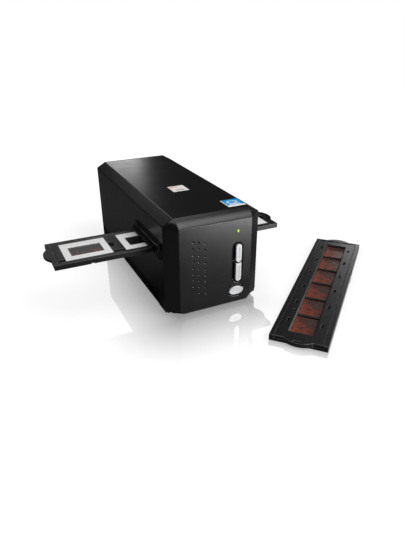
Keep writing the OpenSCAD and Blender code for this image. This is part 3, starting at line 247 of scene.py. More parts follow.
def tray_abs():
    """Coarser eroded black ABS of the base: duller than the cover."""
    # The second colour, on the rounded edges, is partly wear and partly a painted highlight
    return eroded_plastic("abs_eroded_dull_black", "#0e0e0f", "#1c1c1d", roughness=0.55, grain_mm=0.7,
                          depth_mm=0.01, level=0.35)


def inner_abs():
    """Plain black ABS of the slot frame, flaps and chassis: dark, with pale edges that are partly rubbed and
    partly a painted highlight.
    """
    return eroded_plastic("abs_moulded_inner_black", "#0d0d0e", "#9a9a9c", roughness=0.42, grain_mm=0.5,
                          depth_mm=0.005, level=0.45)


def holder_abs():
    """Glass-filled black plastic of the film holders: a dry charcoal with greyer edges that are partly rubbed and
    partly a painted highlight.
    """
    return eroded_plastic("abs_glass_filled_charcoal", "#101011", "#6e6e70", roughness=0.36, grain_mm=0.45,
                          depth_mm=0.005, level=0.5)


def trap_black_and_painted_shade():
    """Dead black inside the film windows and the finger notches: in the windows partly paint that swallows stray
    light and partly painted shade, in the notches painted shade.
    """
    mat, tree, shader = new_material("black_trap_paint_and_painted_shade", "#050505", 0.85)
    relief(tree, shader, speckle(tree, 0.4).outputs["Fac"], 0.01)
    return mat


def rail_metal():
    """Bright satin aluminium foil on the trough's far wall: a thin silver line along the film."""
    mat, tree, shader = new_material("aluminium_satin_rail", "#d8d9db", 0.35, metallic=1.0)
    brushed = speckle(tree, 0.4, stretch=(40.0, 1.0, 1.0), turn=(0.0, 0.0, -STRIP_TURN))
    rough_from(tree, shader, brushed.outputs["Fac"], 0.3, 0.42)
    return mat


def button_lacquer():
    """Silver lacquer sprayed on ABS: fine flakes give a pale grey with a soft metallic glow."""
    mat, tree, shader = new_material("lacquer_silver_on_abs", "#cbccce", 0.3, metallic=0.1)
    # Flakes are about 0.05 mm; they are drawn at 0.3 mm
    flakes = speckle(tree, 0.3, detail=2.0)
    relief(tree, shader, flakes.outputs["Fac"], 0.004)
    rough_from(tree, shader, flakes.outputs["Fac"], 0.3, 0.38)
    return mat


def surround_abs():
    """Polished black ABS of the button recesses: deep black with a thin bright rim."""
    mat, tree, shader = new_material("abs_polished_black", "#060607", 0.16)
    rough_from(tree, shader, speckle(tree, 6.0).outputs["Fac"], 0.12, 0.22)
    return mat


def switch_nylon():
    """Moulded black nylon of the switches and the power socket: slightly waxy."""
    mat, tree, shader = new_material("nylon_moulded_black", "#1a1a1b", 0.5)
    relief(tree, shader, speckle(tree, 0.6).outputs["Fac"], 0.006)
    return mat


def board_resin():
    """Glass-epoxy board under green solder mask: glossy green over paler copper tracks."""
    mat, tree, shader = new_material("epoxy_board_green_mask", "#155233", 0.32)
    where = add(tree, "ShaderNodeTexCoord")
    # A row is a quarter of the scale, so the tracks are 1 mm apart
    tracks = add(tree, "ShaderNodeTexBrick", {"Vector": where.outputs["Object"], "Scale": 1 / (4.0 * MM),
                                              "Color1": linear("#155233"), "Color2": linear("#1b6440"),
                                              "Mortar": linear("#2f8258"), "Mortar Size": 0.03})
    tree.links.new(tracks.outputs["Color"], shader.inputs["Base Color"])
    relief(tree, shader, tracks.outputs["Fac"], 0.02)
    return mat


def turned_steel():
    """Ground and plated steel of rods, pins, screws and shields: fine turning lines."""
    mat, tree, shader = new_material("steel_ground_plated", "#b4b6b9", 0.28, metallic=1.0)
    lines = speckle(tree, 0.3, stretch=(12.0, 1.0, 12.0))
    rough_from(tree, shader, lines.outputs["Fac"], 0.22, 0.36)
    return mat


def sintered_bronze():
    """Sintered bronze bearings: a dull gold with open pores."""
    mat, tree, shader = new_material("bronze_sintered", "#9a7444", 0.45, metallic=1.0)
    pores = speckle(tree, 0.35, detail=5.0)
    relief(tree, shader, pores.outputs["Fac"], 0.02)
    rough_from(tree, shader, pores.outputs["Fac"], 0.35, 0.55)
    return mat


def foot_rubber():
    """Moulded black rubber of the feet: matt, with a faint bloom."""
    mat, tree, shader = new_material("rubber_moulded_black", "#161616", 0.8)
    bloom = speckle(tree, 2.5, detail=5.0)
    tree.links.new(blend_colours(tree, bloom.outputs["Fac"], [(0.35, "#131313"), (0.7, "#202020")]),
                   shader.inputs["Base Color"])
    relief(tree, shader, speckle(tree, 0.5).outputs["Fac"], 0.01)
    return mat


def pipe_acrylic():
    """Tinted acrylic of the status light, which glows; its dark green left and pale yellow right are a painted
    reflection and a painted highlight on the dome.
    """
    mat, tree, shader = new_material("acrylic_tinted_lime", "#9cc23a", 0.12, ior=1.49)
    where = add(tree, "ShaderNodeTexCoord")
    low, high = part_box("led_light_pipe")
    side = add(tree, "ShaderNodeSeparateXYZ", {"Vector": where.outputs["Object"]})
    across = add(tree, "ShaderNodeMapRange", {"Value": side.outputs["X"], "From Min": low.x,
                                              "From Max": high.x})
    # Dark green on the left and pale yellow on the right are a painted reflection and a painted highlight across
    # the dome
    glow = blend_colours(tree, across.outputs["Result"],
                         [(0.3, "#2f7a22"), (0.46, "#5f9a2a"), (0.6, "#f2f48c"), (0.9, "#c6d83c")])
    tree.links.new(glow, shader.inputs["Base Color"])
    tree.links.new(glow, shader.inputs["Emission Color"])
    shader.inputs["Emission Strength"].default_value = 0.35
    return mat


def lens_anodised():
    """Black anodised aluminium of the lens tube and lamp tray: dark with a dull metal glow."""
    mat, tree, shader = new_material("aluminium_anodised_black", "#232325", 0.4, metallic=1.0)
    lines = speckle(tree, 0.3, stretch=(12.0, 1.0, 12.0))
    rough_from(tree, shader, lines.outputs["Fac"], 0.32, 0.48)
    return mat


def mirror_silver():
    """Front-silvered glass: a clean cool mirror with a trace of haze."""
    mat, tree, shader = new_material("glass_front_silvered", "#e8ebee", 0.03, metallic=1.0)
    rough_from(tree, shader, speckle(tree, 8.0).outputs["Fac"], 0.02, 0.05)
    return mat


def diffuser_opal():
    """Opal acrylic over the lamp: milky white that evens out the light."""
    mat, tree, shader = new_material("acrylic_opal_white", "#f0efe9", 0.45, ior=1.49)
    relief(tree, shader, speckle(tree, 0.6).outputs["Fac"], 0.01)
    return mat


def nut_acetal():
    """Natural acetal of the screw nut: milky and slippery."""
    mat, tree, shader = new_material("acetal_natural_moulded", "#dcdacb", 0.4, ior=1.48)
    relief(tree, shader, speckle(tree, 0.6).outputs["Fac"], 0.006)
    return mat


def mount_styrene():
    """White moulded polystyrene of the slide mounts: smooth and bright, with faintly uneven white."""
    mat, tree, shader = new_material("polystyrene_moulded_white", "#f2f2f2", 0.42, ior=1.59)
    tone = speckle(tree, 14.0, detail=4.0)
    tree.links.new(blend_colours(tree, tone.outputs["Fac"], [(0.3, "#eeeeee"), (0.7, "#f6f6f5")]),
                   shader.inputs["Base Color"])
    relief(tree, shader, speckle(tree, 0.5).outputs["Fac"], 0.004)
    return mat


def slide_film():
    """Glossy triacetate slides seen without light behind them: nearly black, with embers of the picture."""
    mat, tree, shader = new_material("triacetate_slide", "#141112", 0.2, ior=1.48)
    where = add(tree, "ShaderNodeTexCoord")
    axes = add(tree, "ShaderNodeSeparateXYZ", {"Vector": where.outputs["Object"]})
    low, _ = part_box("slide_films")
    shapes = speckle(tree, 5.0, detail=6.0, stretch=(1.6, 1.0, 1.0))
    ground = blend_colours(tree, shapes.outputs["Fac"],
                           [(0.3, "#070707"), (0.55, "#151112"), (0.75, "#2a2224")])
    embers = speckle(tree, 2.2, detail=5.0, stretch=(1.8, 1.0, 1.0), shift=0.4)
    # Only the first picture, at the holder's left end, has a warm part, and it lies along the near edge
    first = add(tree, "ShaderNodeMapRange", {"Value": axes.outputs["X"], "From Min": low.x + 44 * MM,
                                             "From Max": low.x + 40 * MM})
    near = add(tree, "ShaderNodeMapRange", {"Value": axes.outputs["Y"], "From Min": low.y + 13 * MM,
                                            "From Max": low.y + 4 * MM})
    hot = add(tree, "ShaderNodeMapRange", {"Value": embers.outputs["Fac"], "From Min": 0.53,
                                           "From Max": 0.66})
    warm = add(tree, "ShaderNodeMath", {0: near, 1: hot}, operation="MULTIPLY")
    share = add(tree, "ShaderNodeMath", {0: warm, 1: first}, operation="MULTIPLY")
    tone = add(tree, "ShaderNodeMix", {"Factor": share, 6: ground, 7: linear("#b04a24")},
               data_type="RGBA")
    tree.links.new(tone.outputs[2], shader.inputs["Base Color"])
    return mat


def negative_film():
    """Glossy colour negative over black: brick-red base with grey blotches of a reversed picture."""
    mat, tree, shader = new_material("triacetate_negative", "#6e3426", 0.22, ior=1.48)
    where = add(tree, "ShaderNodeTexCoord")
    # The film's own map runs along and across one frame in metres, so each frame carries the picture
    lie = add(tree, "ShaderNodeMapping", {"Vector": where.outputs["UV"], "Scale": (1.0, 0.3, 1.0)})
    blots = add(tree, "ShaderNodeTexNoise", {"Vector": lie.outputs["Vector"], "Scale": 1 / (2.3 * MM),
                                             "Detail": 7.0, "Roughness": 0.7, "Distortion": 0.4})
    # The picture is darker towards the frame's far end and its right side
    axes = add(tree, "ShaderNodeSeparateXYZ", {"Vector": where.outputs["UV"]})
    far = add(tree, "ShaderNodeMapRange", {"Value": axes.outputs["X"], "From Min": -16 * MM,
                                           "From Max": 16 * MM, "To Min": -0.05, "To Max": 0.06})
    right = add(tree, "ShaderNodeMapRange", {"Value": axes.outputs["Y"], "From Min": 12 * MM,
                                             "From Max": -8 * MM, "To Min": -0.05, "To Max": 0.06})
    lean = add(tree, "ShaderNodeMath", {0: far, 1: right}, operation="ADD")
    mass = add(tree, "ShaderNodeMath", {0: blots, 1: lean}, operation="ADD")
    tone = blend_colours(tree, mass.outputs[0],
                         [(0.38, "#8c4232"), (0.47, "#71392d"), (0.54, "#48332e"), (0.62, "#393231"),
                          (0.72, "#474240")])
    tree.links.new(tone, shader.inputs["Base Color"])
    streaks = add(tree, "ShaderNodeTexNoise", {"Vector": lie.outputs["Vector"], "Scale": 1 / (1.2 * MM),
                                               "Detail": 4.0})
    relief(tree, shader, streaks.outputs["Fac"], 0.01)
    return mat


def flat_cable_film():
    """Polyester flat cable with tinned conductors a millimetre apart."""
    mat, tree, shader = new_material("polyester_flat_cable", "#d6d6cf", 0.35)
    where = add(tree, "ShaderNodeTexCoord")
    # A wave repeats after 0.314 of its scale
    stripes = add(tree, "ShaderNodeTexWave", {"Vector": where.outputs["Object"], "Scale": 0.314 / MM},
                  bands_direction="X")
    tree.links.new(blend_colours(tree, stripes.outputs["Fac"], [(0.45, "#dadad3"), (0.6, "#a9abac")]),
                   shader.inputs["Base Color"])
    return mat


def print_paper(name, colour):
    """Coated label paper printed in one ink: smooth, with a hint of paper fibre."""
    mat, tree, shader = new_material(name, colour, 0.36)
    # Fibres are about 0.02 mm wide; they are drawn coarser
    fibre = speckle(tree, 0.5, detail=4.0, stretch=(3.0, 1.0, 1.0))
    relief(tree, shader, fibre.outputs["Fac"], 0.003)
    rough_from(tree, shader, fibre.outputs["Fac"], 0.32, 0.41)
    return mat


MAKERS = {
    "casing": casing_abs, "tray": tray_abs, "inner_plastic": inner_abs, "holder": holder_abs,
    "trap": trap_black_and_painted_shade, "rail": rail_metal, "button": button_lacquer, "surround": surround_abs,
    "switch": switch_nylon, "board": board_resin, "steel": turned_steel, "bronze": sintered_bronze,
    "rubber": foot_rubber, "light_pipe": pipe_acrylic, "lens_metal": lens_anodised,
    "mirror": mirror_silver, "diffuser": diffuser_opal, "nut": nut_acetal, "mount_card": mount_styrene,
    "film": slide_film, "negative": negative_film, "cable": flat_cable_film,
}
made_finishes = {}


def finish(slot):
    """The material of a slot, made once."""
    if slot not in made_finishes:
        made_finishes[slot] = MAKERS[slot]()
    return made_finishes[slot]


# ---- Mesh tools ----


def plain_mesh(bm, name):
    """A finished bmesh as a mesh."""
    mesh = bpy.data.meshes.new(name)
    bm.to_mesh(mesh)
    bm.free()
    return mesh


def solid_copy(node):
    """A clean mesh of a node's solid, with each flat side as one face."""
    bm = bmesh.new()
    bm.from_mesh(NODES[node].data)
    bmesh.ops.remove_doubles(bm, verts=bm.verts, dist=WELD_GAP)
    bmesh.ops.dissolve_limit(bm, angle_limit=math.radians(FLAT_FOLD), verts=bm.verts, edges=bm.edges)
    bm.normal_update()
    return bm


def edge_runs(edges):
    """Groups edges that follow on smoothly. Gives each edge the one its run is known by, and the edges
    at each corner.
    """
    parent = {e: e for e in edges}

    def top(e):
        while parent[e] != e:
            parent[e] = parent[parent[e]]
            e = parent[e]
        return e

    at_vert = {}
    for e in edges:
        for v in e.verts:
            at_vert.setdefault(v, []).append(e)
    for v, pair in at_vert.items():
        if len(pair) == 2:
            first, second = ((e.other_vert(v).co - v.co).normalized() for e in pair)
            if first.dot(second) < -SMOOTH_TURN:
                parent[top(pair[0])] = top(pair[1])
    return {e: top(e) for e in edges}, at_vert


def room_for_rounding(edges, radius):
    """How large a radius each edge can take before it runs into another one."""
    run_of, at_vert = edge_runs(edges)
    touching, length, corners = {}, {}, {}
    for group in at_vert.values():
        runs = {run_of[e] for e in group}
        for run in runs:
            touching.setdefault(run, set()).update(runs)
    spots = []
    for e in edges:
        run = run_of[e]
        here, there = (v.co for v in e.verts)
        length[run] = length.get(run, 0.0) + (there - here).length
        low, high = corners.get(run, (here.copy(), here.copy()))
        for co in (here, there):
            low = Vector(map(min, low, co))
            high = Vector(map(max, high, co))
        corners[run] = (low, high)
        steps = max(1, int((there - here).length / SPOT_STEP))
        spots += [(here.lerp(there, (i + 0.5) / steps), run) for i in range(steps)]
    tree = kdtree.KDTree(len(spots))
    for i, (co, run) in enumerate(spots):
        tree.insert(co, i)
    tree.balance()
    room = {run: min(radius, EXTENT_SHARE * (high - low).length) for run, (low, high) in corners.items()}
    for co, run in spots:
        for _, i, gap in tree.find_range(co, radius / ROOM_SHARE):
            other = spots[i][1]
            if other not in touching[run]:
                room[run] = min(room[run], ROOM_SHARE * gap)
    for run, others in touching.items():
        for other in others - {run}:
            room[run] = min(room[run], ROOM_SHARE * length[other])
    return {e: room[run_of[e]] for e in edges}


def softened(bm, name, radius, fold=HARD_FOLD, where=None, materials=()):
    """Rounds the hard edges off as far as there is room, and marks the rounded strips, which take a paler colour
    that is partly wear and partly a painted highlight.
    """
    weight = bm.edges.layers.float.new("bevel_weight_edge")
    hard = [e for e in bm.edges if e.is_manifold and e.calc_face_angle(0.0) > math.radians(fold)
            and (where is None or where(e))]
    for e, room in room_for_rounding(hard, radius).items():
        e[weight] = room / radius if room > LEAST_ROUNDING else 0.0
    for face in bm.faces:
        face.smooth = True
    mesh = plain_mesh(bm, name)
    # One slot more than the finishes, which tells the rounded strips from the sides
    strips = max(len(materials), 1)
    for material in (*materials, *([None] * (strips + 1 - len(materials)))):
        mesh.materials.append(material)
    raw = bpy.data.objects.new(name, mesh)
    bpy.context.scene.collection.objects.link(raw)
    rounder = raw.modifiers.new("rounding", "BEVEL")
    rounder.limit_method = "WEIGHT"
    rounder.width = radius
    rounder.segments = ROUND_STEPS
    rounder.use_clamp_overlap = False
    rounder.material = strips
    done = bpy.data.meshes.new_from_object(raw.evaluated_get(bpy.context.evaluated_depsgraph_get()))
    bpy.data.objects.remove(raw)
    # The mark gives the rounded strips their paler colour, partly wear and partly a painted highlight
    wear_and_highlight = done.attributes.new("wear_and_highlight", "FLOAT", "FACE")
    for face in done.polygons:
        if face.material_index == strips:
            wear_and_highlight.data[face.index].value = 1.0
            face.material_index = 0
    return done


def stand_in(mesh, name, node, materials):
    """Turns a mesh into a piece that stands for a node and moves with it."""
    mesh.name = name
    mesh.shade_smooth()
    mesh.set_sharp_from_angle(angle=math.radians(CRISP_FOLD))
    while len(mesh.materials) < len(materials):
        mesh.materials.append(None)
    while len(mesh.materials) > len(materials):
        mesh.materials.pop(index=len(mesh.materials) - 1)
    for i, material in enumerate(materials):
        mesh.materials[i] = material
    obj = bpy.data.objects.new(name, mesh)
    bpy.context.scene.collection.objects.link(obj)
    # Flat sides keep flat shading, and the rounded strips turn evenly between them
    even = obj.modifiers.new("even_shading", "WEIGHTED_NORMAL")
    even.keep_sharp = True
    even.weight = 100
    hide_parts(node)
    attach(obj, body_of(node))


def skin(node, radius, fold=HARD_FOLD):
    """A node's solid with its hard edges rounded off, in the node's own finish."""
    mesh = softened(solid_copy(node), node, radius, fold)
    stand_in(mesh, node + "_skin", node, [finish(slot_of(node))])


def dress(*nodes):
    """Gives carried-over solids the finish of their slot."""
    for node in nodes:
        mesh = NODES[node].data
        mesh.materials.clear()
        mesh.materials.append(finish(slot_of(node)))


# ---- Settings ----


def edge_radius(name, owner, default_mm):
    """A setting for how round a piece's edges are."""
    return FloatProperty(name=name, description=f"Radius of the edges of the {owner}",
                         default=default_mm * MM, min=0.1 * MM, max=1.5 * MM, subtype="DISTANCE",
                         unit="LENGTH")


class EdgeSettings(bpy.types.PropertyGroup):
    """How round the edges are."""

    cover: edge_radius("Cover", "cover", 0.7)
    cap: edge_radius("Front cap", "front cap", 0.5)
    tray: edge_radius("Base", "base", 0.4)
    foot: edge_radius("Feet", "feet", 0.6)
    hood: edge_radius("Hoods", "slot hoods", 0.5)
    flap: edge_radius("Flaps", "dust flaps", 0.3)
    button: edge_radius("Buttons", "buttons", 0.7)
    light_pipe: edge_radius("Light pipe", "light pipe", 0.5)
    small: edge_radius("Small parts", "recesses, sockets and slide mounts", 0.25)
    holder: edge_radius("Film holders", "film holders", 0.3)


class LabelSettings(bpy.types.PropertyGroup):
    """Inks of the two plain labels."""

    paper: StringProperty(name="Paper", description="Colour of the bare paper", default="#f6f5f3")
    warm_ink: StringProperty(name="Warm ink", description="Colour of the warm print", default="#f8b878")
    blue_ink: StringProperty(name="Blue ink", description="Colour of the blue print", default="#1ea0e4")
    grey_ink: StringProperty(name="Grey ink", description="Colour of the small bars", default="#8e8f92")
    pink_ink: StringProperty(name="Pink ink", description="Colour of the small spot", default="#f2b8c0")
    cells: IntProperty(name="Cells", description="Print cells along a label's edge", default=40,
                       min=10, max=80)


class StageSettings(bpy.types.PropertyGroup):
    """Camera and studio."""

    camera_place: FloatVectorProperty(name="Camera place", description="Where the camera stands", size=3,
                                      default=(-0.213517, -0.545916, 0.286341), subtype="TRANSLATION",
                                      unit="LENGTH")
    heading: FloatProperty(name="Heading", description="Turn of the view to the right of straight back",
                           default=math.radians(25.4097), subtype="ANGLE", unit="ROTATION")
    dip: FloatProperty(name="Dip", description="How far the view points down",
                       default=math.radians(26.9901), subtype="ANGLE", unit="ROTATION")
    tilt: FloatProperty(name="Tilt", description="Roll of the camera", default=math.radians(-0.3786),
                        subtype="ANGLE", unit="ROTATION")
    lens_mm: FloatProperty(name="Lens", description="Focal length for a 36 mm sensor", default=32.04)
    shine: FloatProperty(name="Floor shine", description="Share of mirror image in the floor at the foot of "
                         "the casing", default=0.68, min=0.0, max=1.0)
    shine_reach: FloatProperty(name="Shine reach", description="How far from the casing the mirror image "
                               "fades", default=0.1, subtype="DISTANCE", unit="LENGTH")
    sky: FloatProperty(name="Sky", description="Strength of the light from all round", default=0.03,
                       min=0.0, max=1.0)


# ---- Casing ----


class SCANNER_OT_casing(bpy.types.Operator):
    """Shape the cover, the base, the rear panel and the feet"""

    bl_idname = "scanner.casing"
    bl_label = "Casing"

    def execute(self, context):
        edges = context.scene.scanner_edges
        skin("top_cover", edges.cover)
        skin("base_tray", edges.tray)
        skin("rear_panel", edges.cover)
        skin("rubber_feet", edges.foot)
        dress("case_screws")
        return {"FINISHED"}


class SCANNER_OT_front_cap(bpy.types.Operator):
    """Shape the front cap with its crisp folds and small dimples"""

    bl_idname = "scanner.front_cap"
    bl_label = "Front cap"

    def execute(self, context):
        skin("front_bezel", context.scene.scanner_edges.cap, fold=CAP_FOLD)
        return {"FINISHED"}


class SCANNER_OT_film_slot(bpy.types.Operator):
    """Shape the hoods and dust flaps over the film slot"""

    bl_idname = "scanner.film_slot"
    bl_label = "Film slot"

    def execute(self, context):
        edges = context.scene.scanner_edges
        for side in ("left", "right"):
            skin(side + "_slot_hood", edges.hood)
            skin(side + "_dust_flap", edges.flap)
            dress(side + "_flap_pin")
        dress("film_track", "track_screws", "detent_spring")
        return {"FINISHED"}


class SCANNER_OT_buttons(bpy.types.Operator):
    """Shape the silver buttons, their recesses, the switches and the status light"""

    bl_idname = "scanner.buttons"
    bl_label = "Buttons and light"

    def execute(self, context):
        edges = context.scene.scanner_edges
        for node in ("upper_scan_button", "lower_scan_button", "power_button"):
            skin(node, edges.button)
        for node in ("scan_button_surround", "power_button_surround"):
            skin(node, edges.small)
        skin("led_light_pipe", edges.light_pipe)
        dress("status_led", "upper_switch_plunger", "lower_switch_plunger", "power_switch_plunger",
              "switch_housings", "button_board", "board_screws")
        return {"FINISHED"}


# Printed patches: lowest and highest place across and then along the label, from 0 to 1, and the ink
WARM_LABEL = ((0.06, 0.3, 0.66, 0.84, 1), (0.34, 0.58, 0.74, 0.9, 1), (0.8, 0.88, 0.3, 0.42, 3),
              (0.24, 0.74, 0.16, 0.24, 2), (0.24, 0.74, 0.32, 0.38, 2))
BLUE_LABEL = ((0.0, 0.04, 0.0, 1.0, 0), (0.0, 1.0, 0.0, 0.14, 0), (0.0, 0.85, 0.0, 0.22, 0),
              (0.2, 0.8, 0.28, 0.34, 0))
# The blue label's ring in the same shares: its middle, radius, half its band, and how much it is squashed
RING_X, RING_Y = 0.5, 0.6
RING_R = 0.27
RING_BAND = 0.04
RING_SQUASH = 1.5


def patch_ink(patches, ground, x, y):
    """The ink of the first patch that holds a place on a label, or the ground between the patches."""
    return next((ink for x0, x1, y0, y1, ink in patches if x0 < x < x1 and y0 < y < y1), ground)


def warm_ink_at(x, y):
    """The orange-and-white label: two warm blocks, a pink spot and two grey bars on bare paper."""
    return patch_ink(WARM_LABEL, 0, x, y)


def blue_ink_at(x, y):
    """The blue label: an oval ring and a bar left white, and a white border on two sides."""
    out = math.hypot(x - RING_X, (y - RING_Y) * RING_SQUASH)
    return 0 if abs(out - RING_R) < RING_BAND else patch_ink(BLUE_LABEL, 1, x, y)


def print_label(node, inks, ink_at, cells):
    """A thin label whose top is printed cell by cell. ink_at takes 0 to 1 across and along."""
    low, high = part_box(node)
    bm = bmesh.new()
    made = {}

    def corner(i, j, z):
        key = (i, j, z)
        if key not in made:
            made[key] = bm.verts.new((low.x + (high.x - low.x) * i / cells,
                                      low.y + (high.y - low.y) * j / cells, z))
        return made[key]

    for i in range(cells):
        for j in range(cells):
            face = bm.faces.new([corner(i, j, high.z), corner(i + 1, j, high.z),
                                 corner(i + 1, j + 1, high.z), corner(i, j + 1, high.z)])
            face.material_index = ink_at((i + 0.5) / cells, (j + 0.5) / cells)
    ring = ([(i, 0) for i in range(cells)] + [(cells, j) for j in range(cells)]
            + [(cells - i, cells) for i in range(cells)] + [(0, cells - j) for j in range(cells)])
    for here, after in zip(ring, ring[1:] + ring[:1]):
        bm.faces.new([corner(*here, high.z), corner(*here, low.z), corner(*after, low.z),
                      corner(*after, high.z)])
    bm.faces.new([corner(*place, low.z) for place in reversed(ring)])
    bmesh.ops.recalc_face_normals(bm, faces=bm.faces)
    stand_in(plain_mesh(bm, node), node + "_print", node, inks)


class SCANNER_OT_labels(bpy.types.Operator):
    """Print the two plain labels on the cover"""

    bl_idname = "scanner.labels"
    bl_label = "Labels"

    def execute(self, context):
        look = context.scene.scanner_labels
        paper = print_paper("paper_coated_bare", look.paper)
        warm = print_paper("paper_coated_warm_ink", look.warm_ink)
        blue = print_paper("paper_coated_blue_ink", look.blue_ink)
        grey = print_paper("paper_coated_grey_ink", look.grey_ink)
        pink = print_paper("paper_coated_pink_ink", look.pink_ink)
        print_label("orange_label", [paper, warm, grey, pink], warm_ink_at, look.cells)
        print_label("blue_label", [paper, blue], blue_ink_at, look.cells)
        return {"FINISHED"}


# ---- Works inside ----


class SCANNER_OT_works(bpy.types.Operator):
    """Finish the chassis, the carriage, the boards and the sockets"""

    bl_idname = "scanner.works"
    bl_label = "Works inside"

    def execute(self, context):
        for node in ("usb_socket", "power_socket"):
            skin(node, context.scene.scanner_edges.small)
        dress("scan_chassis", "chassis_screws", "left_guide_rod", "right_guide_rod", "lead_screw",
              "screw_bearings", "stepper_motor", "carriage_housing", "carriage_lid", "carriage_nut",
              "folding_mirror", "lens_barrel", "sensor_board", "lamp_arm", "lamp_housing",
              "lamp_diffuser", "main_board", "flat_cable")
        return {"FINISHED"}


# ---- Film holders ----


class SCANNER_OT_slide_set(bpy.types.Operator):
    """Shape the slide holder, its four mounts and the slides in them"""

    bl_idname = "scanner.slide_set"
    bl_label = "Slide holder"

    def execute(self, context):
        edges = context.scene.scanner_edges
        bm = solid_copy("slide_holder")
        # All of a finger notch but its rim gets the dead black as painted shade
        notches = [Vector((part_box(mount)[1].x + POCKET_GAP, middle_of(mount).y)) for mount in SLIDE_MOUNTS]
        painted_shade_top = max(v.co.z for v in bm.verts) - NOTCH_RIM
        for face in bm.faces:
            middle = face.calc_center_median()
            in_notch = any((middle.xy - notch).length < NOTCH_REACH for notch in notches)
            face.material_index = 1 if in_notch and middle.z < painted_shade_top else 0
        coats = [finish("holder"), finish("trap")]
        mesh = softened(bm, "slide_holder", edges.holder, materials=coats)
        stand_in(mesh, "slide_holder_skin", "slide_holder", coats)
        for mount in SLIDE_MOUNTS:
            skin(mount, edges.small)
        dress("slide_films")
        return {"FINISHED"}


class SCANNER_OT_strip_holder(bpy.types.Operator):
    """Shape the strip holder's base and its hinged lid with the bright trough"""

    bl_idname = "scanner.strip_holder"
    bl_label = "Strip holder"

    def execute(self, context):
        flat = on_desk("strip_holder_base").inverted()
        turn = flat.to_3x3()
        coats = [finish("holder"), finish("trap"), finish("rail")]
        for node in ("strip_holder_base", "strip_holder_lid"):
            bm = solid_copy(node)
            rim = max(v.co.z for v in bm.verts) - TROUGH_RIM
            for face in bm.faces:
                middle = flat @ face.calc_center_median()
                facing = turn @ face.normal
                if abs(middle.x) > TROUGH_HALF_L or abs(middle.y) > TROUGH_HALF_W or middle.z > rim:
                    continue
                # Inside the trough the faces get the dead black, partly light-trap paint and partly painted shade
                # on the bars and walls
                # The foil is on the far wall, which leans back and faces the near side
                face.material_index = 2 if facing.y < -0.3 and facing.z > 0.2 else 1
            # Edges in the trough stay sharp
            mesh = softened(bm, node, context.scene.scanner_edges.holder, materials=coats,
                            where=lambda e: all(f.material_index == 0 for f in e.link_faces))
            stand_in(mesh, node + "_skin", node, coats)
        dress("strip_hinge_pin")
        return {"FINISHED"}


def perforated_strip(node):
    """The strip of film with its holes, and a map that is zero in the middle of each frame."""
    low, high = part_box(node)
    place = on_desk(node)
    length = FRAME_COUNT * FRAME_PITCH
    edge = FILM_W / 2
    hole_out = edge - HOLE_INSET
    hole_in = hole_out - HOLE_ACROSS
    holes = int(length // HOLE_PITCH)
    first_hole = (length - (holes - 1) * HOLE_PITCH) / 2
    along = [0.0, length] + [k * FRAME_PITCH for k in range(1, FRAME_COUNT)]
    for k in range(holes):
        middle = first_hole + k * HOLE_PITCH
        along += [middle - HOLE_ALONG / 2, middle + HOLE_ALONG / 2]
    along = sorted(set(round(a, 4) for a in along))
    across = [-edge, -hole_out, -hole_in, hole_in, hole_out, edge]
    bm = bmesh.new()
    uv = bm.loops.layers.uv.new("frame_map")
    made = {}

    def corner(a, b, z):
        key = (a, b, z)
        if key not in made:
            made[key] = bm.verts.new(place @ Vector(((a - length / 2) * MM, b * MM, z)))
        return made[key]

    def punched(a, b):
        past = (a - first_hole + HOLE_PITCH / 2) % HOLE_PITCH - HOLE_PITCH / 2
        in_row = first_hole - HOLE_ALONG < a < length - first_hole + HOLE_ALONG
        return in_row and abs(past) < HOLE_ALONG / 2 and hole_in < abs(b) < hole_out

    for a, a2 in zip(along, along[1:]):
        for b, b2 in zip(across, across[1:]):
            if punched((a + a2) / 2, (b + b2) / 2):
                continue
            k = min(int((a + a2) / 2 // FRAME_PITCH), FRAME_COUNT - 1)
            for z, points in ((high.z, [(a, b), (a2, b), (a2, b2), (a, b2)]),
                              (low.z, [(a, b), (a, b2), (a2, b2), (a2, b)])):
                face = bm.faces.new([corner(*point, z) for point in points])
                for loop, point in zip(face.loops, points):
                    loop[uv].uv = ((point[0] - (k + 0.5) * FRAME_PITCH) * MM, point[1] * MM)
    # Walls along the outline and round the holes join the two sides
    spot_of = {v: key[:2] for key, v in made.items()}
    rim = {tuple(sorted(spot_of[v] for v in e.verts)): None for e in bm.edges if e.is_boundary}
    for here, there in rim:
        bm.faces.new([made[*here, high.z], made[*there, high.z], made[*there, low.z], made[*here, low.z]])
    bmesh.ops.recalc_face_normals(bm, faces=bm.faces)
    return plain_mesh(bm, node)


class SCANNER_OT_negatives(bpy.types.Operator):
    """Cut the strip of six negatives with its rows of perforations"""

    bl_idname = "scanner.negatives"
    bl_label = "Negatives"

    def execute(self, context):
        stand_in(perforated_strip("negative_strip"), "negative_strip_film", "negative_strip",
                 [finish("negative")])
        return {"FINISHED"}


# ---- Studio ----


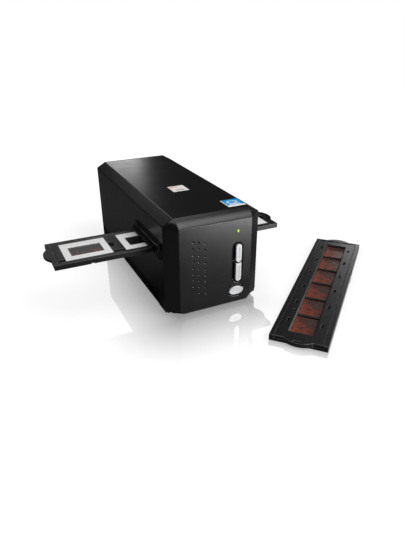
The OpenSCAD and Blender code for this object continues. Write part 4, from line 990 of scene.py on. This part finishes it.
# Soft boxes: place, target, width and height, watts, and whether they spare the floor. The low ones
# and those behind would show as a glare in it.
LAMPS = {
    "key": ((0.35, -0.7, 1.0), (0.05, -0.1, 0.0), (0.7, 0.7), 8.2, False),
    "over": ((0.0, -0.05, 1.2), (0.0, -0.05, 0.0), (0.9, 0.9), 5.5, False),
    "front_fill": ((0.31, -0.66, 0.26), (0.0, -0.13, 0.09), (0.3, 0.16), 0.75, False),
    "front_low": ((0.19, -0.4, 0.025), (0.02, -0.13, 0.09), (0.2, 0.03), 0.75, True),
    "back_left": ((0.03, 0.32, 0.155), (-0.045, 0.12, 0.115), (0.07, 0.06), 0.006, True),
    "back_middle": ((0.1, 0.55, 0.2), (-0.03, 0.1, 0.11), (0.1, 0.1), 0.09, True),
    "back_high": ((-0.02, 0.75, 0.5), (-0.04, 0.0, 0.11), (0.3, 0.2), 0.14, True),
    "back_right": ((0.75, 0.35, 0.16), (0.05, -0.13, 0.08), (0.2, 0.2), 0.6, False),
}


def view_axes(stage):
    """The camera's right, up and back directions."""
    ch, sh = math.cos(stage.heading), math.sin(stage.heading)
    cd, sd = math.cos(stage.dip), math.sin(stage.dip)
    ahead = Vector((sh * cd, ch * cd, -sd))
    right = Vector((ch, -sh, 0.0))
    up = right.cross(ahead)
    ct, st = math.cos(stage.tilt), math.sin(stage.tilt)
    return ct * right + st * up, ct * up - st * right, -ahead


def add_camera(stage):
    """The camera, with its place, turn and lens."""
    cam = bpy.data.objects.new("camera", bpy.data.cameras.new("camera"))
    bpy.context.scene.collection.objects.link(cam)
    axes = Matrix(view_axes(stage)).transposed()
    cam.matrix_world = Matrix.Translation(stage.camera_place) @ axes.to_4x4()
    cam.data.sensor_width = 36.0
    cam.data.lens = stage.lens_mm
    cam.data.clip_start = 0.02
    bpy.context.scene.camera = cam


def soft_box(name, place, target, size, watts, flagged=()):
    """A rectangular studio light that faces a point. It isn't seen, and spares the objects flagged off."""
    light = bpy.data.lights.new(name, "AREA")
    light.shape = "RECTANGLE"
    light.size, light.size_y = size
    light.energy = watts
    obj = bpy.data.objects.new(name, light)
    bpy.context.scene.collection.objects.link(obj)
    obj.location = place
    obj.rotation_mode = "QUATERNION"
    obj.rotation_quaternion = (Vector(target) - Vector(place)).to_track_quat("-Z", "Y")
    obj.visible_camera = False
    if flagged:
        spared = bpy.data.collections.new(name + "_flag")
        for other in flagged:
            spared.objects.link(other)
        obj.light_linking.receiver_collection = spared
        for entry in spared.collection_objects:
            entry.light_linking.link_state = "EXCLUDE"


def patch(tree, vector, half, reach, top, power):
    """A value that is at its top in a rectangle round the vector's origin, and gone at reach from it."""
    axes = add(tree, "ShaderNodeSeparateXYZ", {"Vector": vector})
    past = []
    for axis, half_side in zip("XY", half):
        away = add(tree, "ShaderNodeMath", {0: axes.outputs[axis]}, operation="ABSOLUTE")
        beyond = add(tree, "ShaderNodeMath", {0: away, 1: half_side}, operation="SUBTRACT")
        past.append(add(tree, "ShaderNodeMath", {0: beyond, 1: 0.0}, operation="MAXIMUM"))
    flat = add(tree, "ShaderNodeCombineXYZ", {"X": past[0], "Y": past[1]})
    distance = add(tree, "ShaderNodeVectorMath", {0: flat}, operation="LENGTH").outputs["Value"]
    left = add(tree, "ShaderNodeMapRange", {"Value": distance, "From Max": reach, "To Min": 1.0,
                                            "To Max": 0.0})
    bent = add(tree, "ShaderNodeMath", {0: left, 1: power}, operation="POWER")
    return add(tree, "ShaderNodeMath", {0: bent, 1: top}, operation="MULTIPLY")


def floor_finish(stage):
    """Polished white acrylic sheet: pure white, with a mirror image that fades from the pieces."""
    # What the pieces mirror of the sheet, and are lit by, is a plain grey
    mat, tree, shader = new_material("acrylic_sheet_white", "#757575", 0.5)
    where = add(tree, "ShaderNodeTexCoord").outputs["Object"]
    strip_place = on_desk("strip_holder_base").to_translation()
    by_strip = add(tree, "ShaderNodeMapping", {"Vector": where, "Location": strip_place,
                                               "Rotation": (0.0, 0.0, STRIP_TURN)}, vector_type="TEXTURE")
    case_shine = patch(tree, where, half=(0.045, 0.133), reach=stage.shine_reach, top=stage.shine, power=1.35)
    strip_shine = patch(tree, by_strip.outputs["Vector"], half=(0.134, 0.031), reach=0.03, top=0.5, power=1.2)
    shine = add(tree, "ShaderNodeMath", {0: case_shine, 1: strip_shine}, operation="MAXIMUM")
    # The sheet glows white, but less so close around the pieces, where their shadows show
    near = patch(tree, where, half=(0.2, 0.16), reach=0.3, top=0.14, power=1.0)
    glow = add(tree, "ShaderNodeMath", {0: 1.0, 1: near}, operation="SUBTRACT")
    white = add(tree, "ShaderNodeEmission", {"Color": linear("#ffffff"), "Strength": glow})
    shade = add(tree, "ShaderNodeBsdfDiffuse", {"Color": linear("#8b8b8b")})
    ground = add(tree, "ShaderNodeAddShader", {0: white, 1: shade})
    mirror = add(tree, "ShaderNodeBsdfGlossy", {"Roughness": 0.0})
    seen = add(tree, "ShaderNodeMixShader", {0: shine, 1: ground, 2: mirror})
    path = add(tree, "ShaderNodeLightPath")
    both = add(tree, "ShaderNodeMixShader", {0: path.outputs["Is Camera Ray"], 1: shader, 2: seen})
    tree.links.new(both.outputs[0], tree.nodes["Material Output"].inputs["Surface"])
    return mat


def add_floor(stage):
    """The sheet that the pieces stand on."""
    bm = bmesh.new()
    bmesh.ops.create_grid(bm, x_segments=1, y_segments=1, size=FLOOR_HALF,
                          matrix=Matrix.Translation((0.0, 0.0, -FLOOR_DROP)))
    mesh = plain_mesh(bm, "floor")
    mesh.materials.append(floor_finish(stage))
    floor = bpy.data.objects.new("floor", mesh)
    bpy.context.scene.collection.objects.link(floor)
    return floor


def add_sky(stage):
    """White where it is seen, straight or through a mirror or glass, and dim as a source of light."""
    world = bpy.data.worlds.new("studio")
    bpy.context.scene.world = world
    world.use_nodes = True
    tree = world.node_tree
    path = add(tree, "ShaderNodeLightPath").outputs
    sharp = add(tree, "ShaderNodeMath", {0: path["Is Camera Ray"], 1: path["Is Singular Ray"]},
                operation="MAXIMUM")
    clear = add(tree, "ShaderNodeMath", {0: sharp, 1: path["Is Transmission Ray"]}, operation="MAXIMUM")
    bright = add(tree, "ShaderNodeBackground", {"Color": linear("#ffffff"), "Strength": 1.0})
    dim = add(tree, "ShaderNodeBackground", {"Color": linear("#ffffff"), "Strength": stage.sky})
    seen = add(tree, "ShaderNodeMixShader", {0: clear, 1: dim, 2: bright})
    tree.links.new(seen.outputs[0], tree.nodes["World Output"].inputs["Surface"])


def add_lights(floor):
    """Every soft box of the table."""
    for name, (place, target, size, watts, spares_floor) in LAMPS.items():
        soft_box(name, place, target, size, watts, flagged=[floor] if spares_floor else ())


class SCANNER_OT_stage(bpy.types.Operator):
    """Set up the floor, the lights and the camera"""

    bl_idname = "scanner.stage"
    bl_label = "Stage"

    def execute(self, context):
        stage = context.scene.scanner_stage
        add_camera(stage)
        floor = add_floor(stage)
        add_sky(stage)
        add_lights(floor)
        context.scene.view_settings.view_transform = "Standard"
        return {"FINISHED"}


class SCANNER_PT_panel(bpy.types.Panel):
    """Lists the pieces"""

    bl_label = "Film scanner"
    bl_idname = "SCANNER_PT_panel"
    bl_space_type = "VIEW_3D"
    bl_region_type = "UI"
    bl_category = "Film scanner"

    def draw(self, context):
        for step in PIECES:
            self.layout.operator(step.bl_idname)


PIECES = (SCANNER_OT_casing, SCANNER_OT_front_cap, SCANNER_OT_film_slot, SCANNER_OT_buttons,
          SCANNER_OT_labels, SCANNER_OT_works, SCANNER_OT_slide_set, SCANNER_OT_strip_holder,
          SCANNER_OT_negatives, SCANNER_OT_stage)
CLASSES = (EdgeSettings, LabelSettings, StageSettings, *PIECES, SCANNER_PT_panel)


def register():
    for cls in CLASSES:
        bpy.utils.register_class(cls)
    bpy.types.Scene.scanner_edges = PointerProperty(type=EdgeSettings)
    bpy.types.Scene.scanner_labels = PointerProperty(type=LabelSettings)
    bpy.types.Scene.scanner_stage = PointerProperty(type=StageSettings)


def unregister():
    del bpy.types.Scene.scanner_stage
    del bpy.types.Scene.scanner_labels
    del bpy.types.Scene.scanner_edges
    for cls in reversed(CLASSES):
        bpy.utils.unregister_class(cls)


def main():
    """Registers the add-on and makes every piece in order."""
    register()
    for step in PIECES:
        group, name = step.bl_idname.split(".")
        getattr(getattr(bpy.ops, group), name)()


if __name__ == "__main__":
    main()
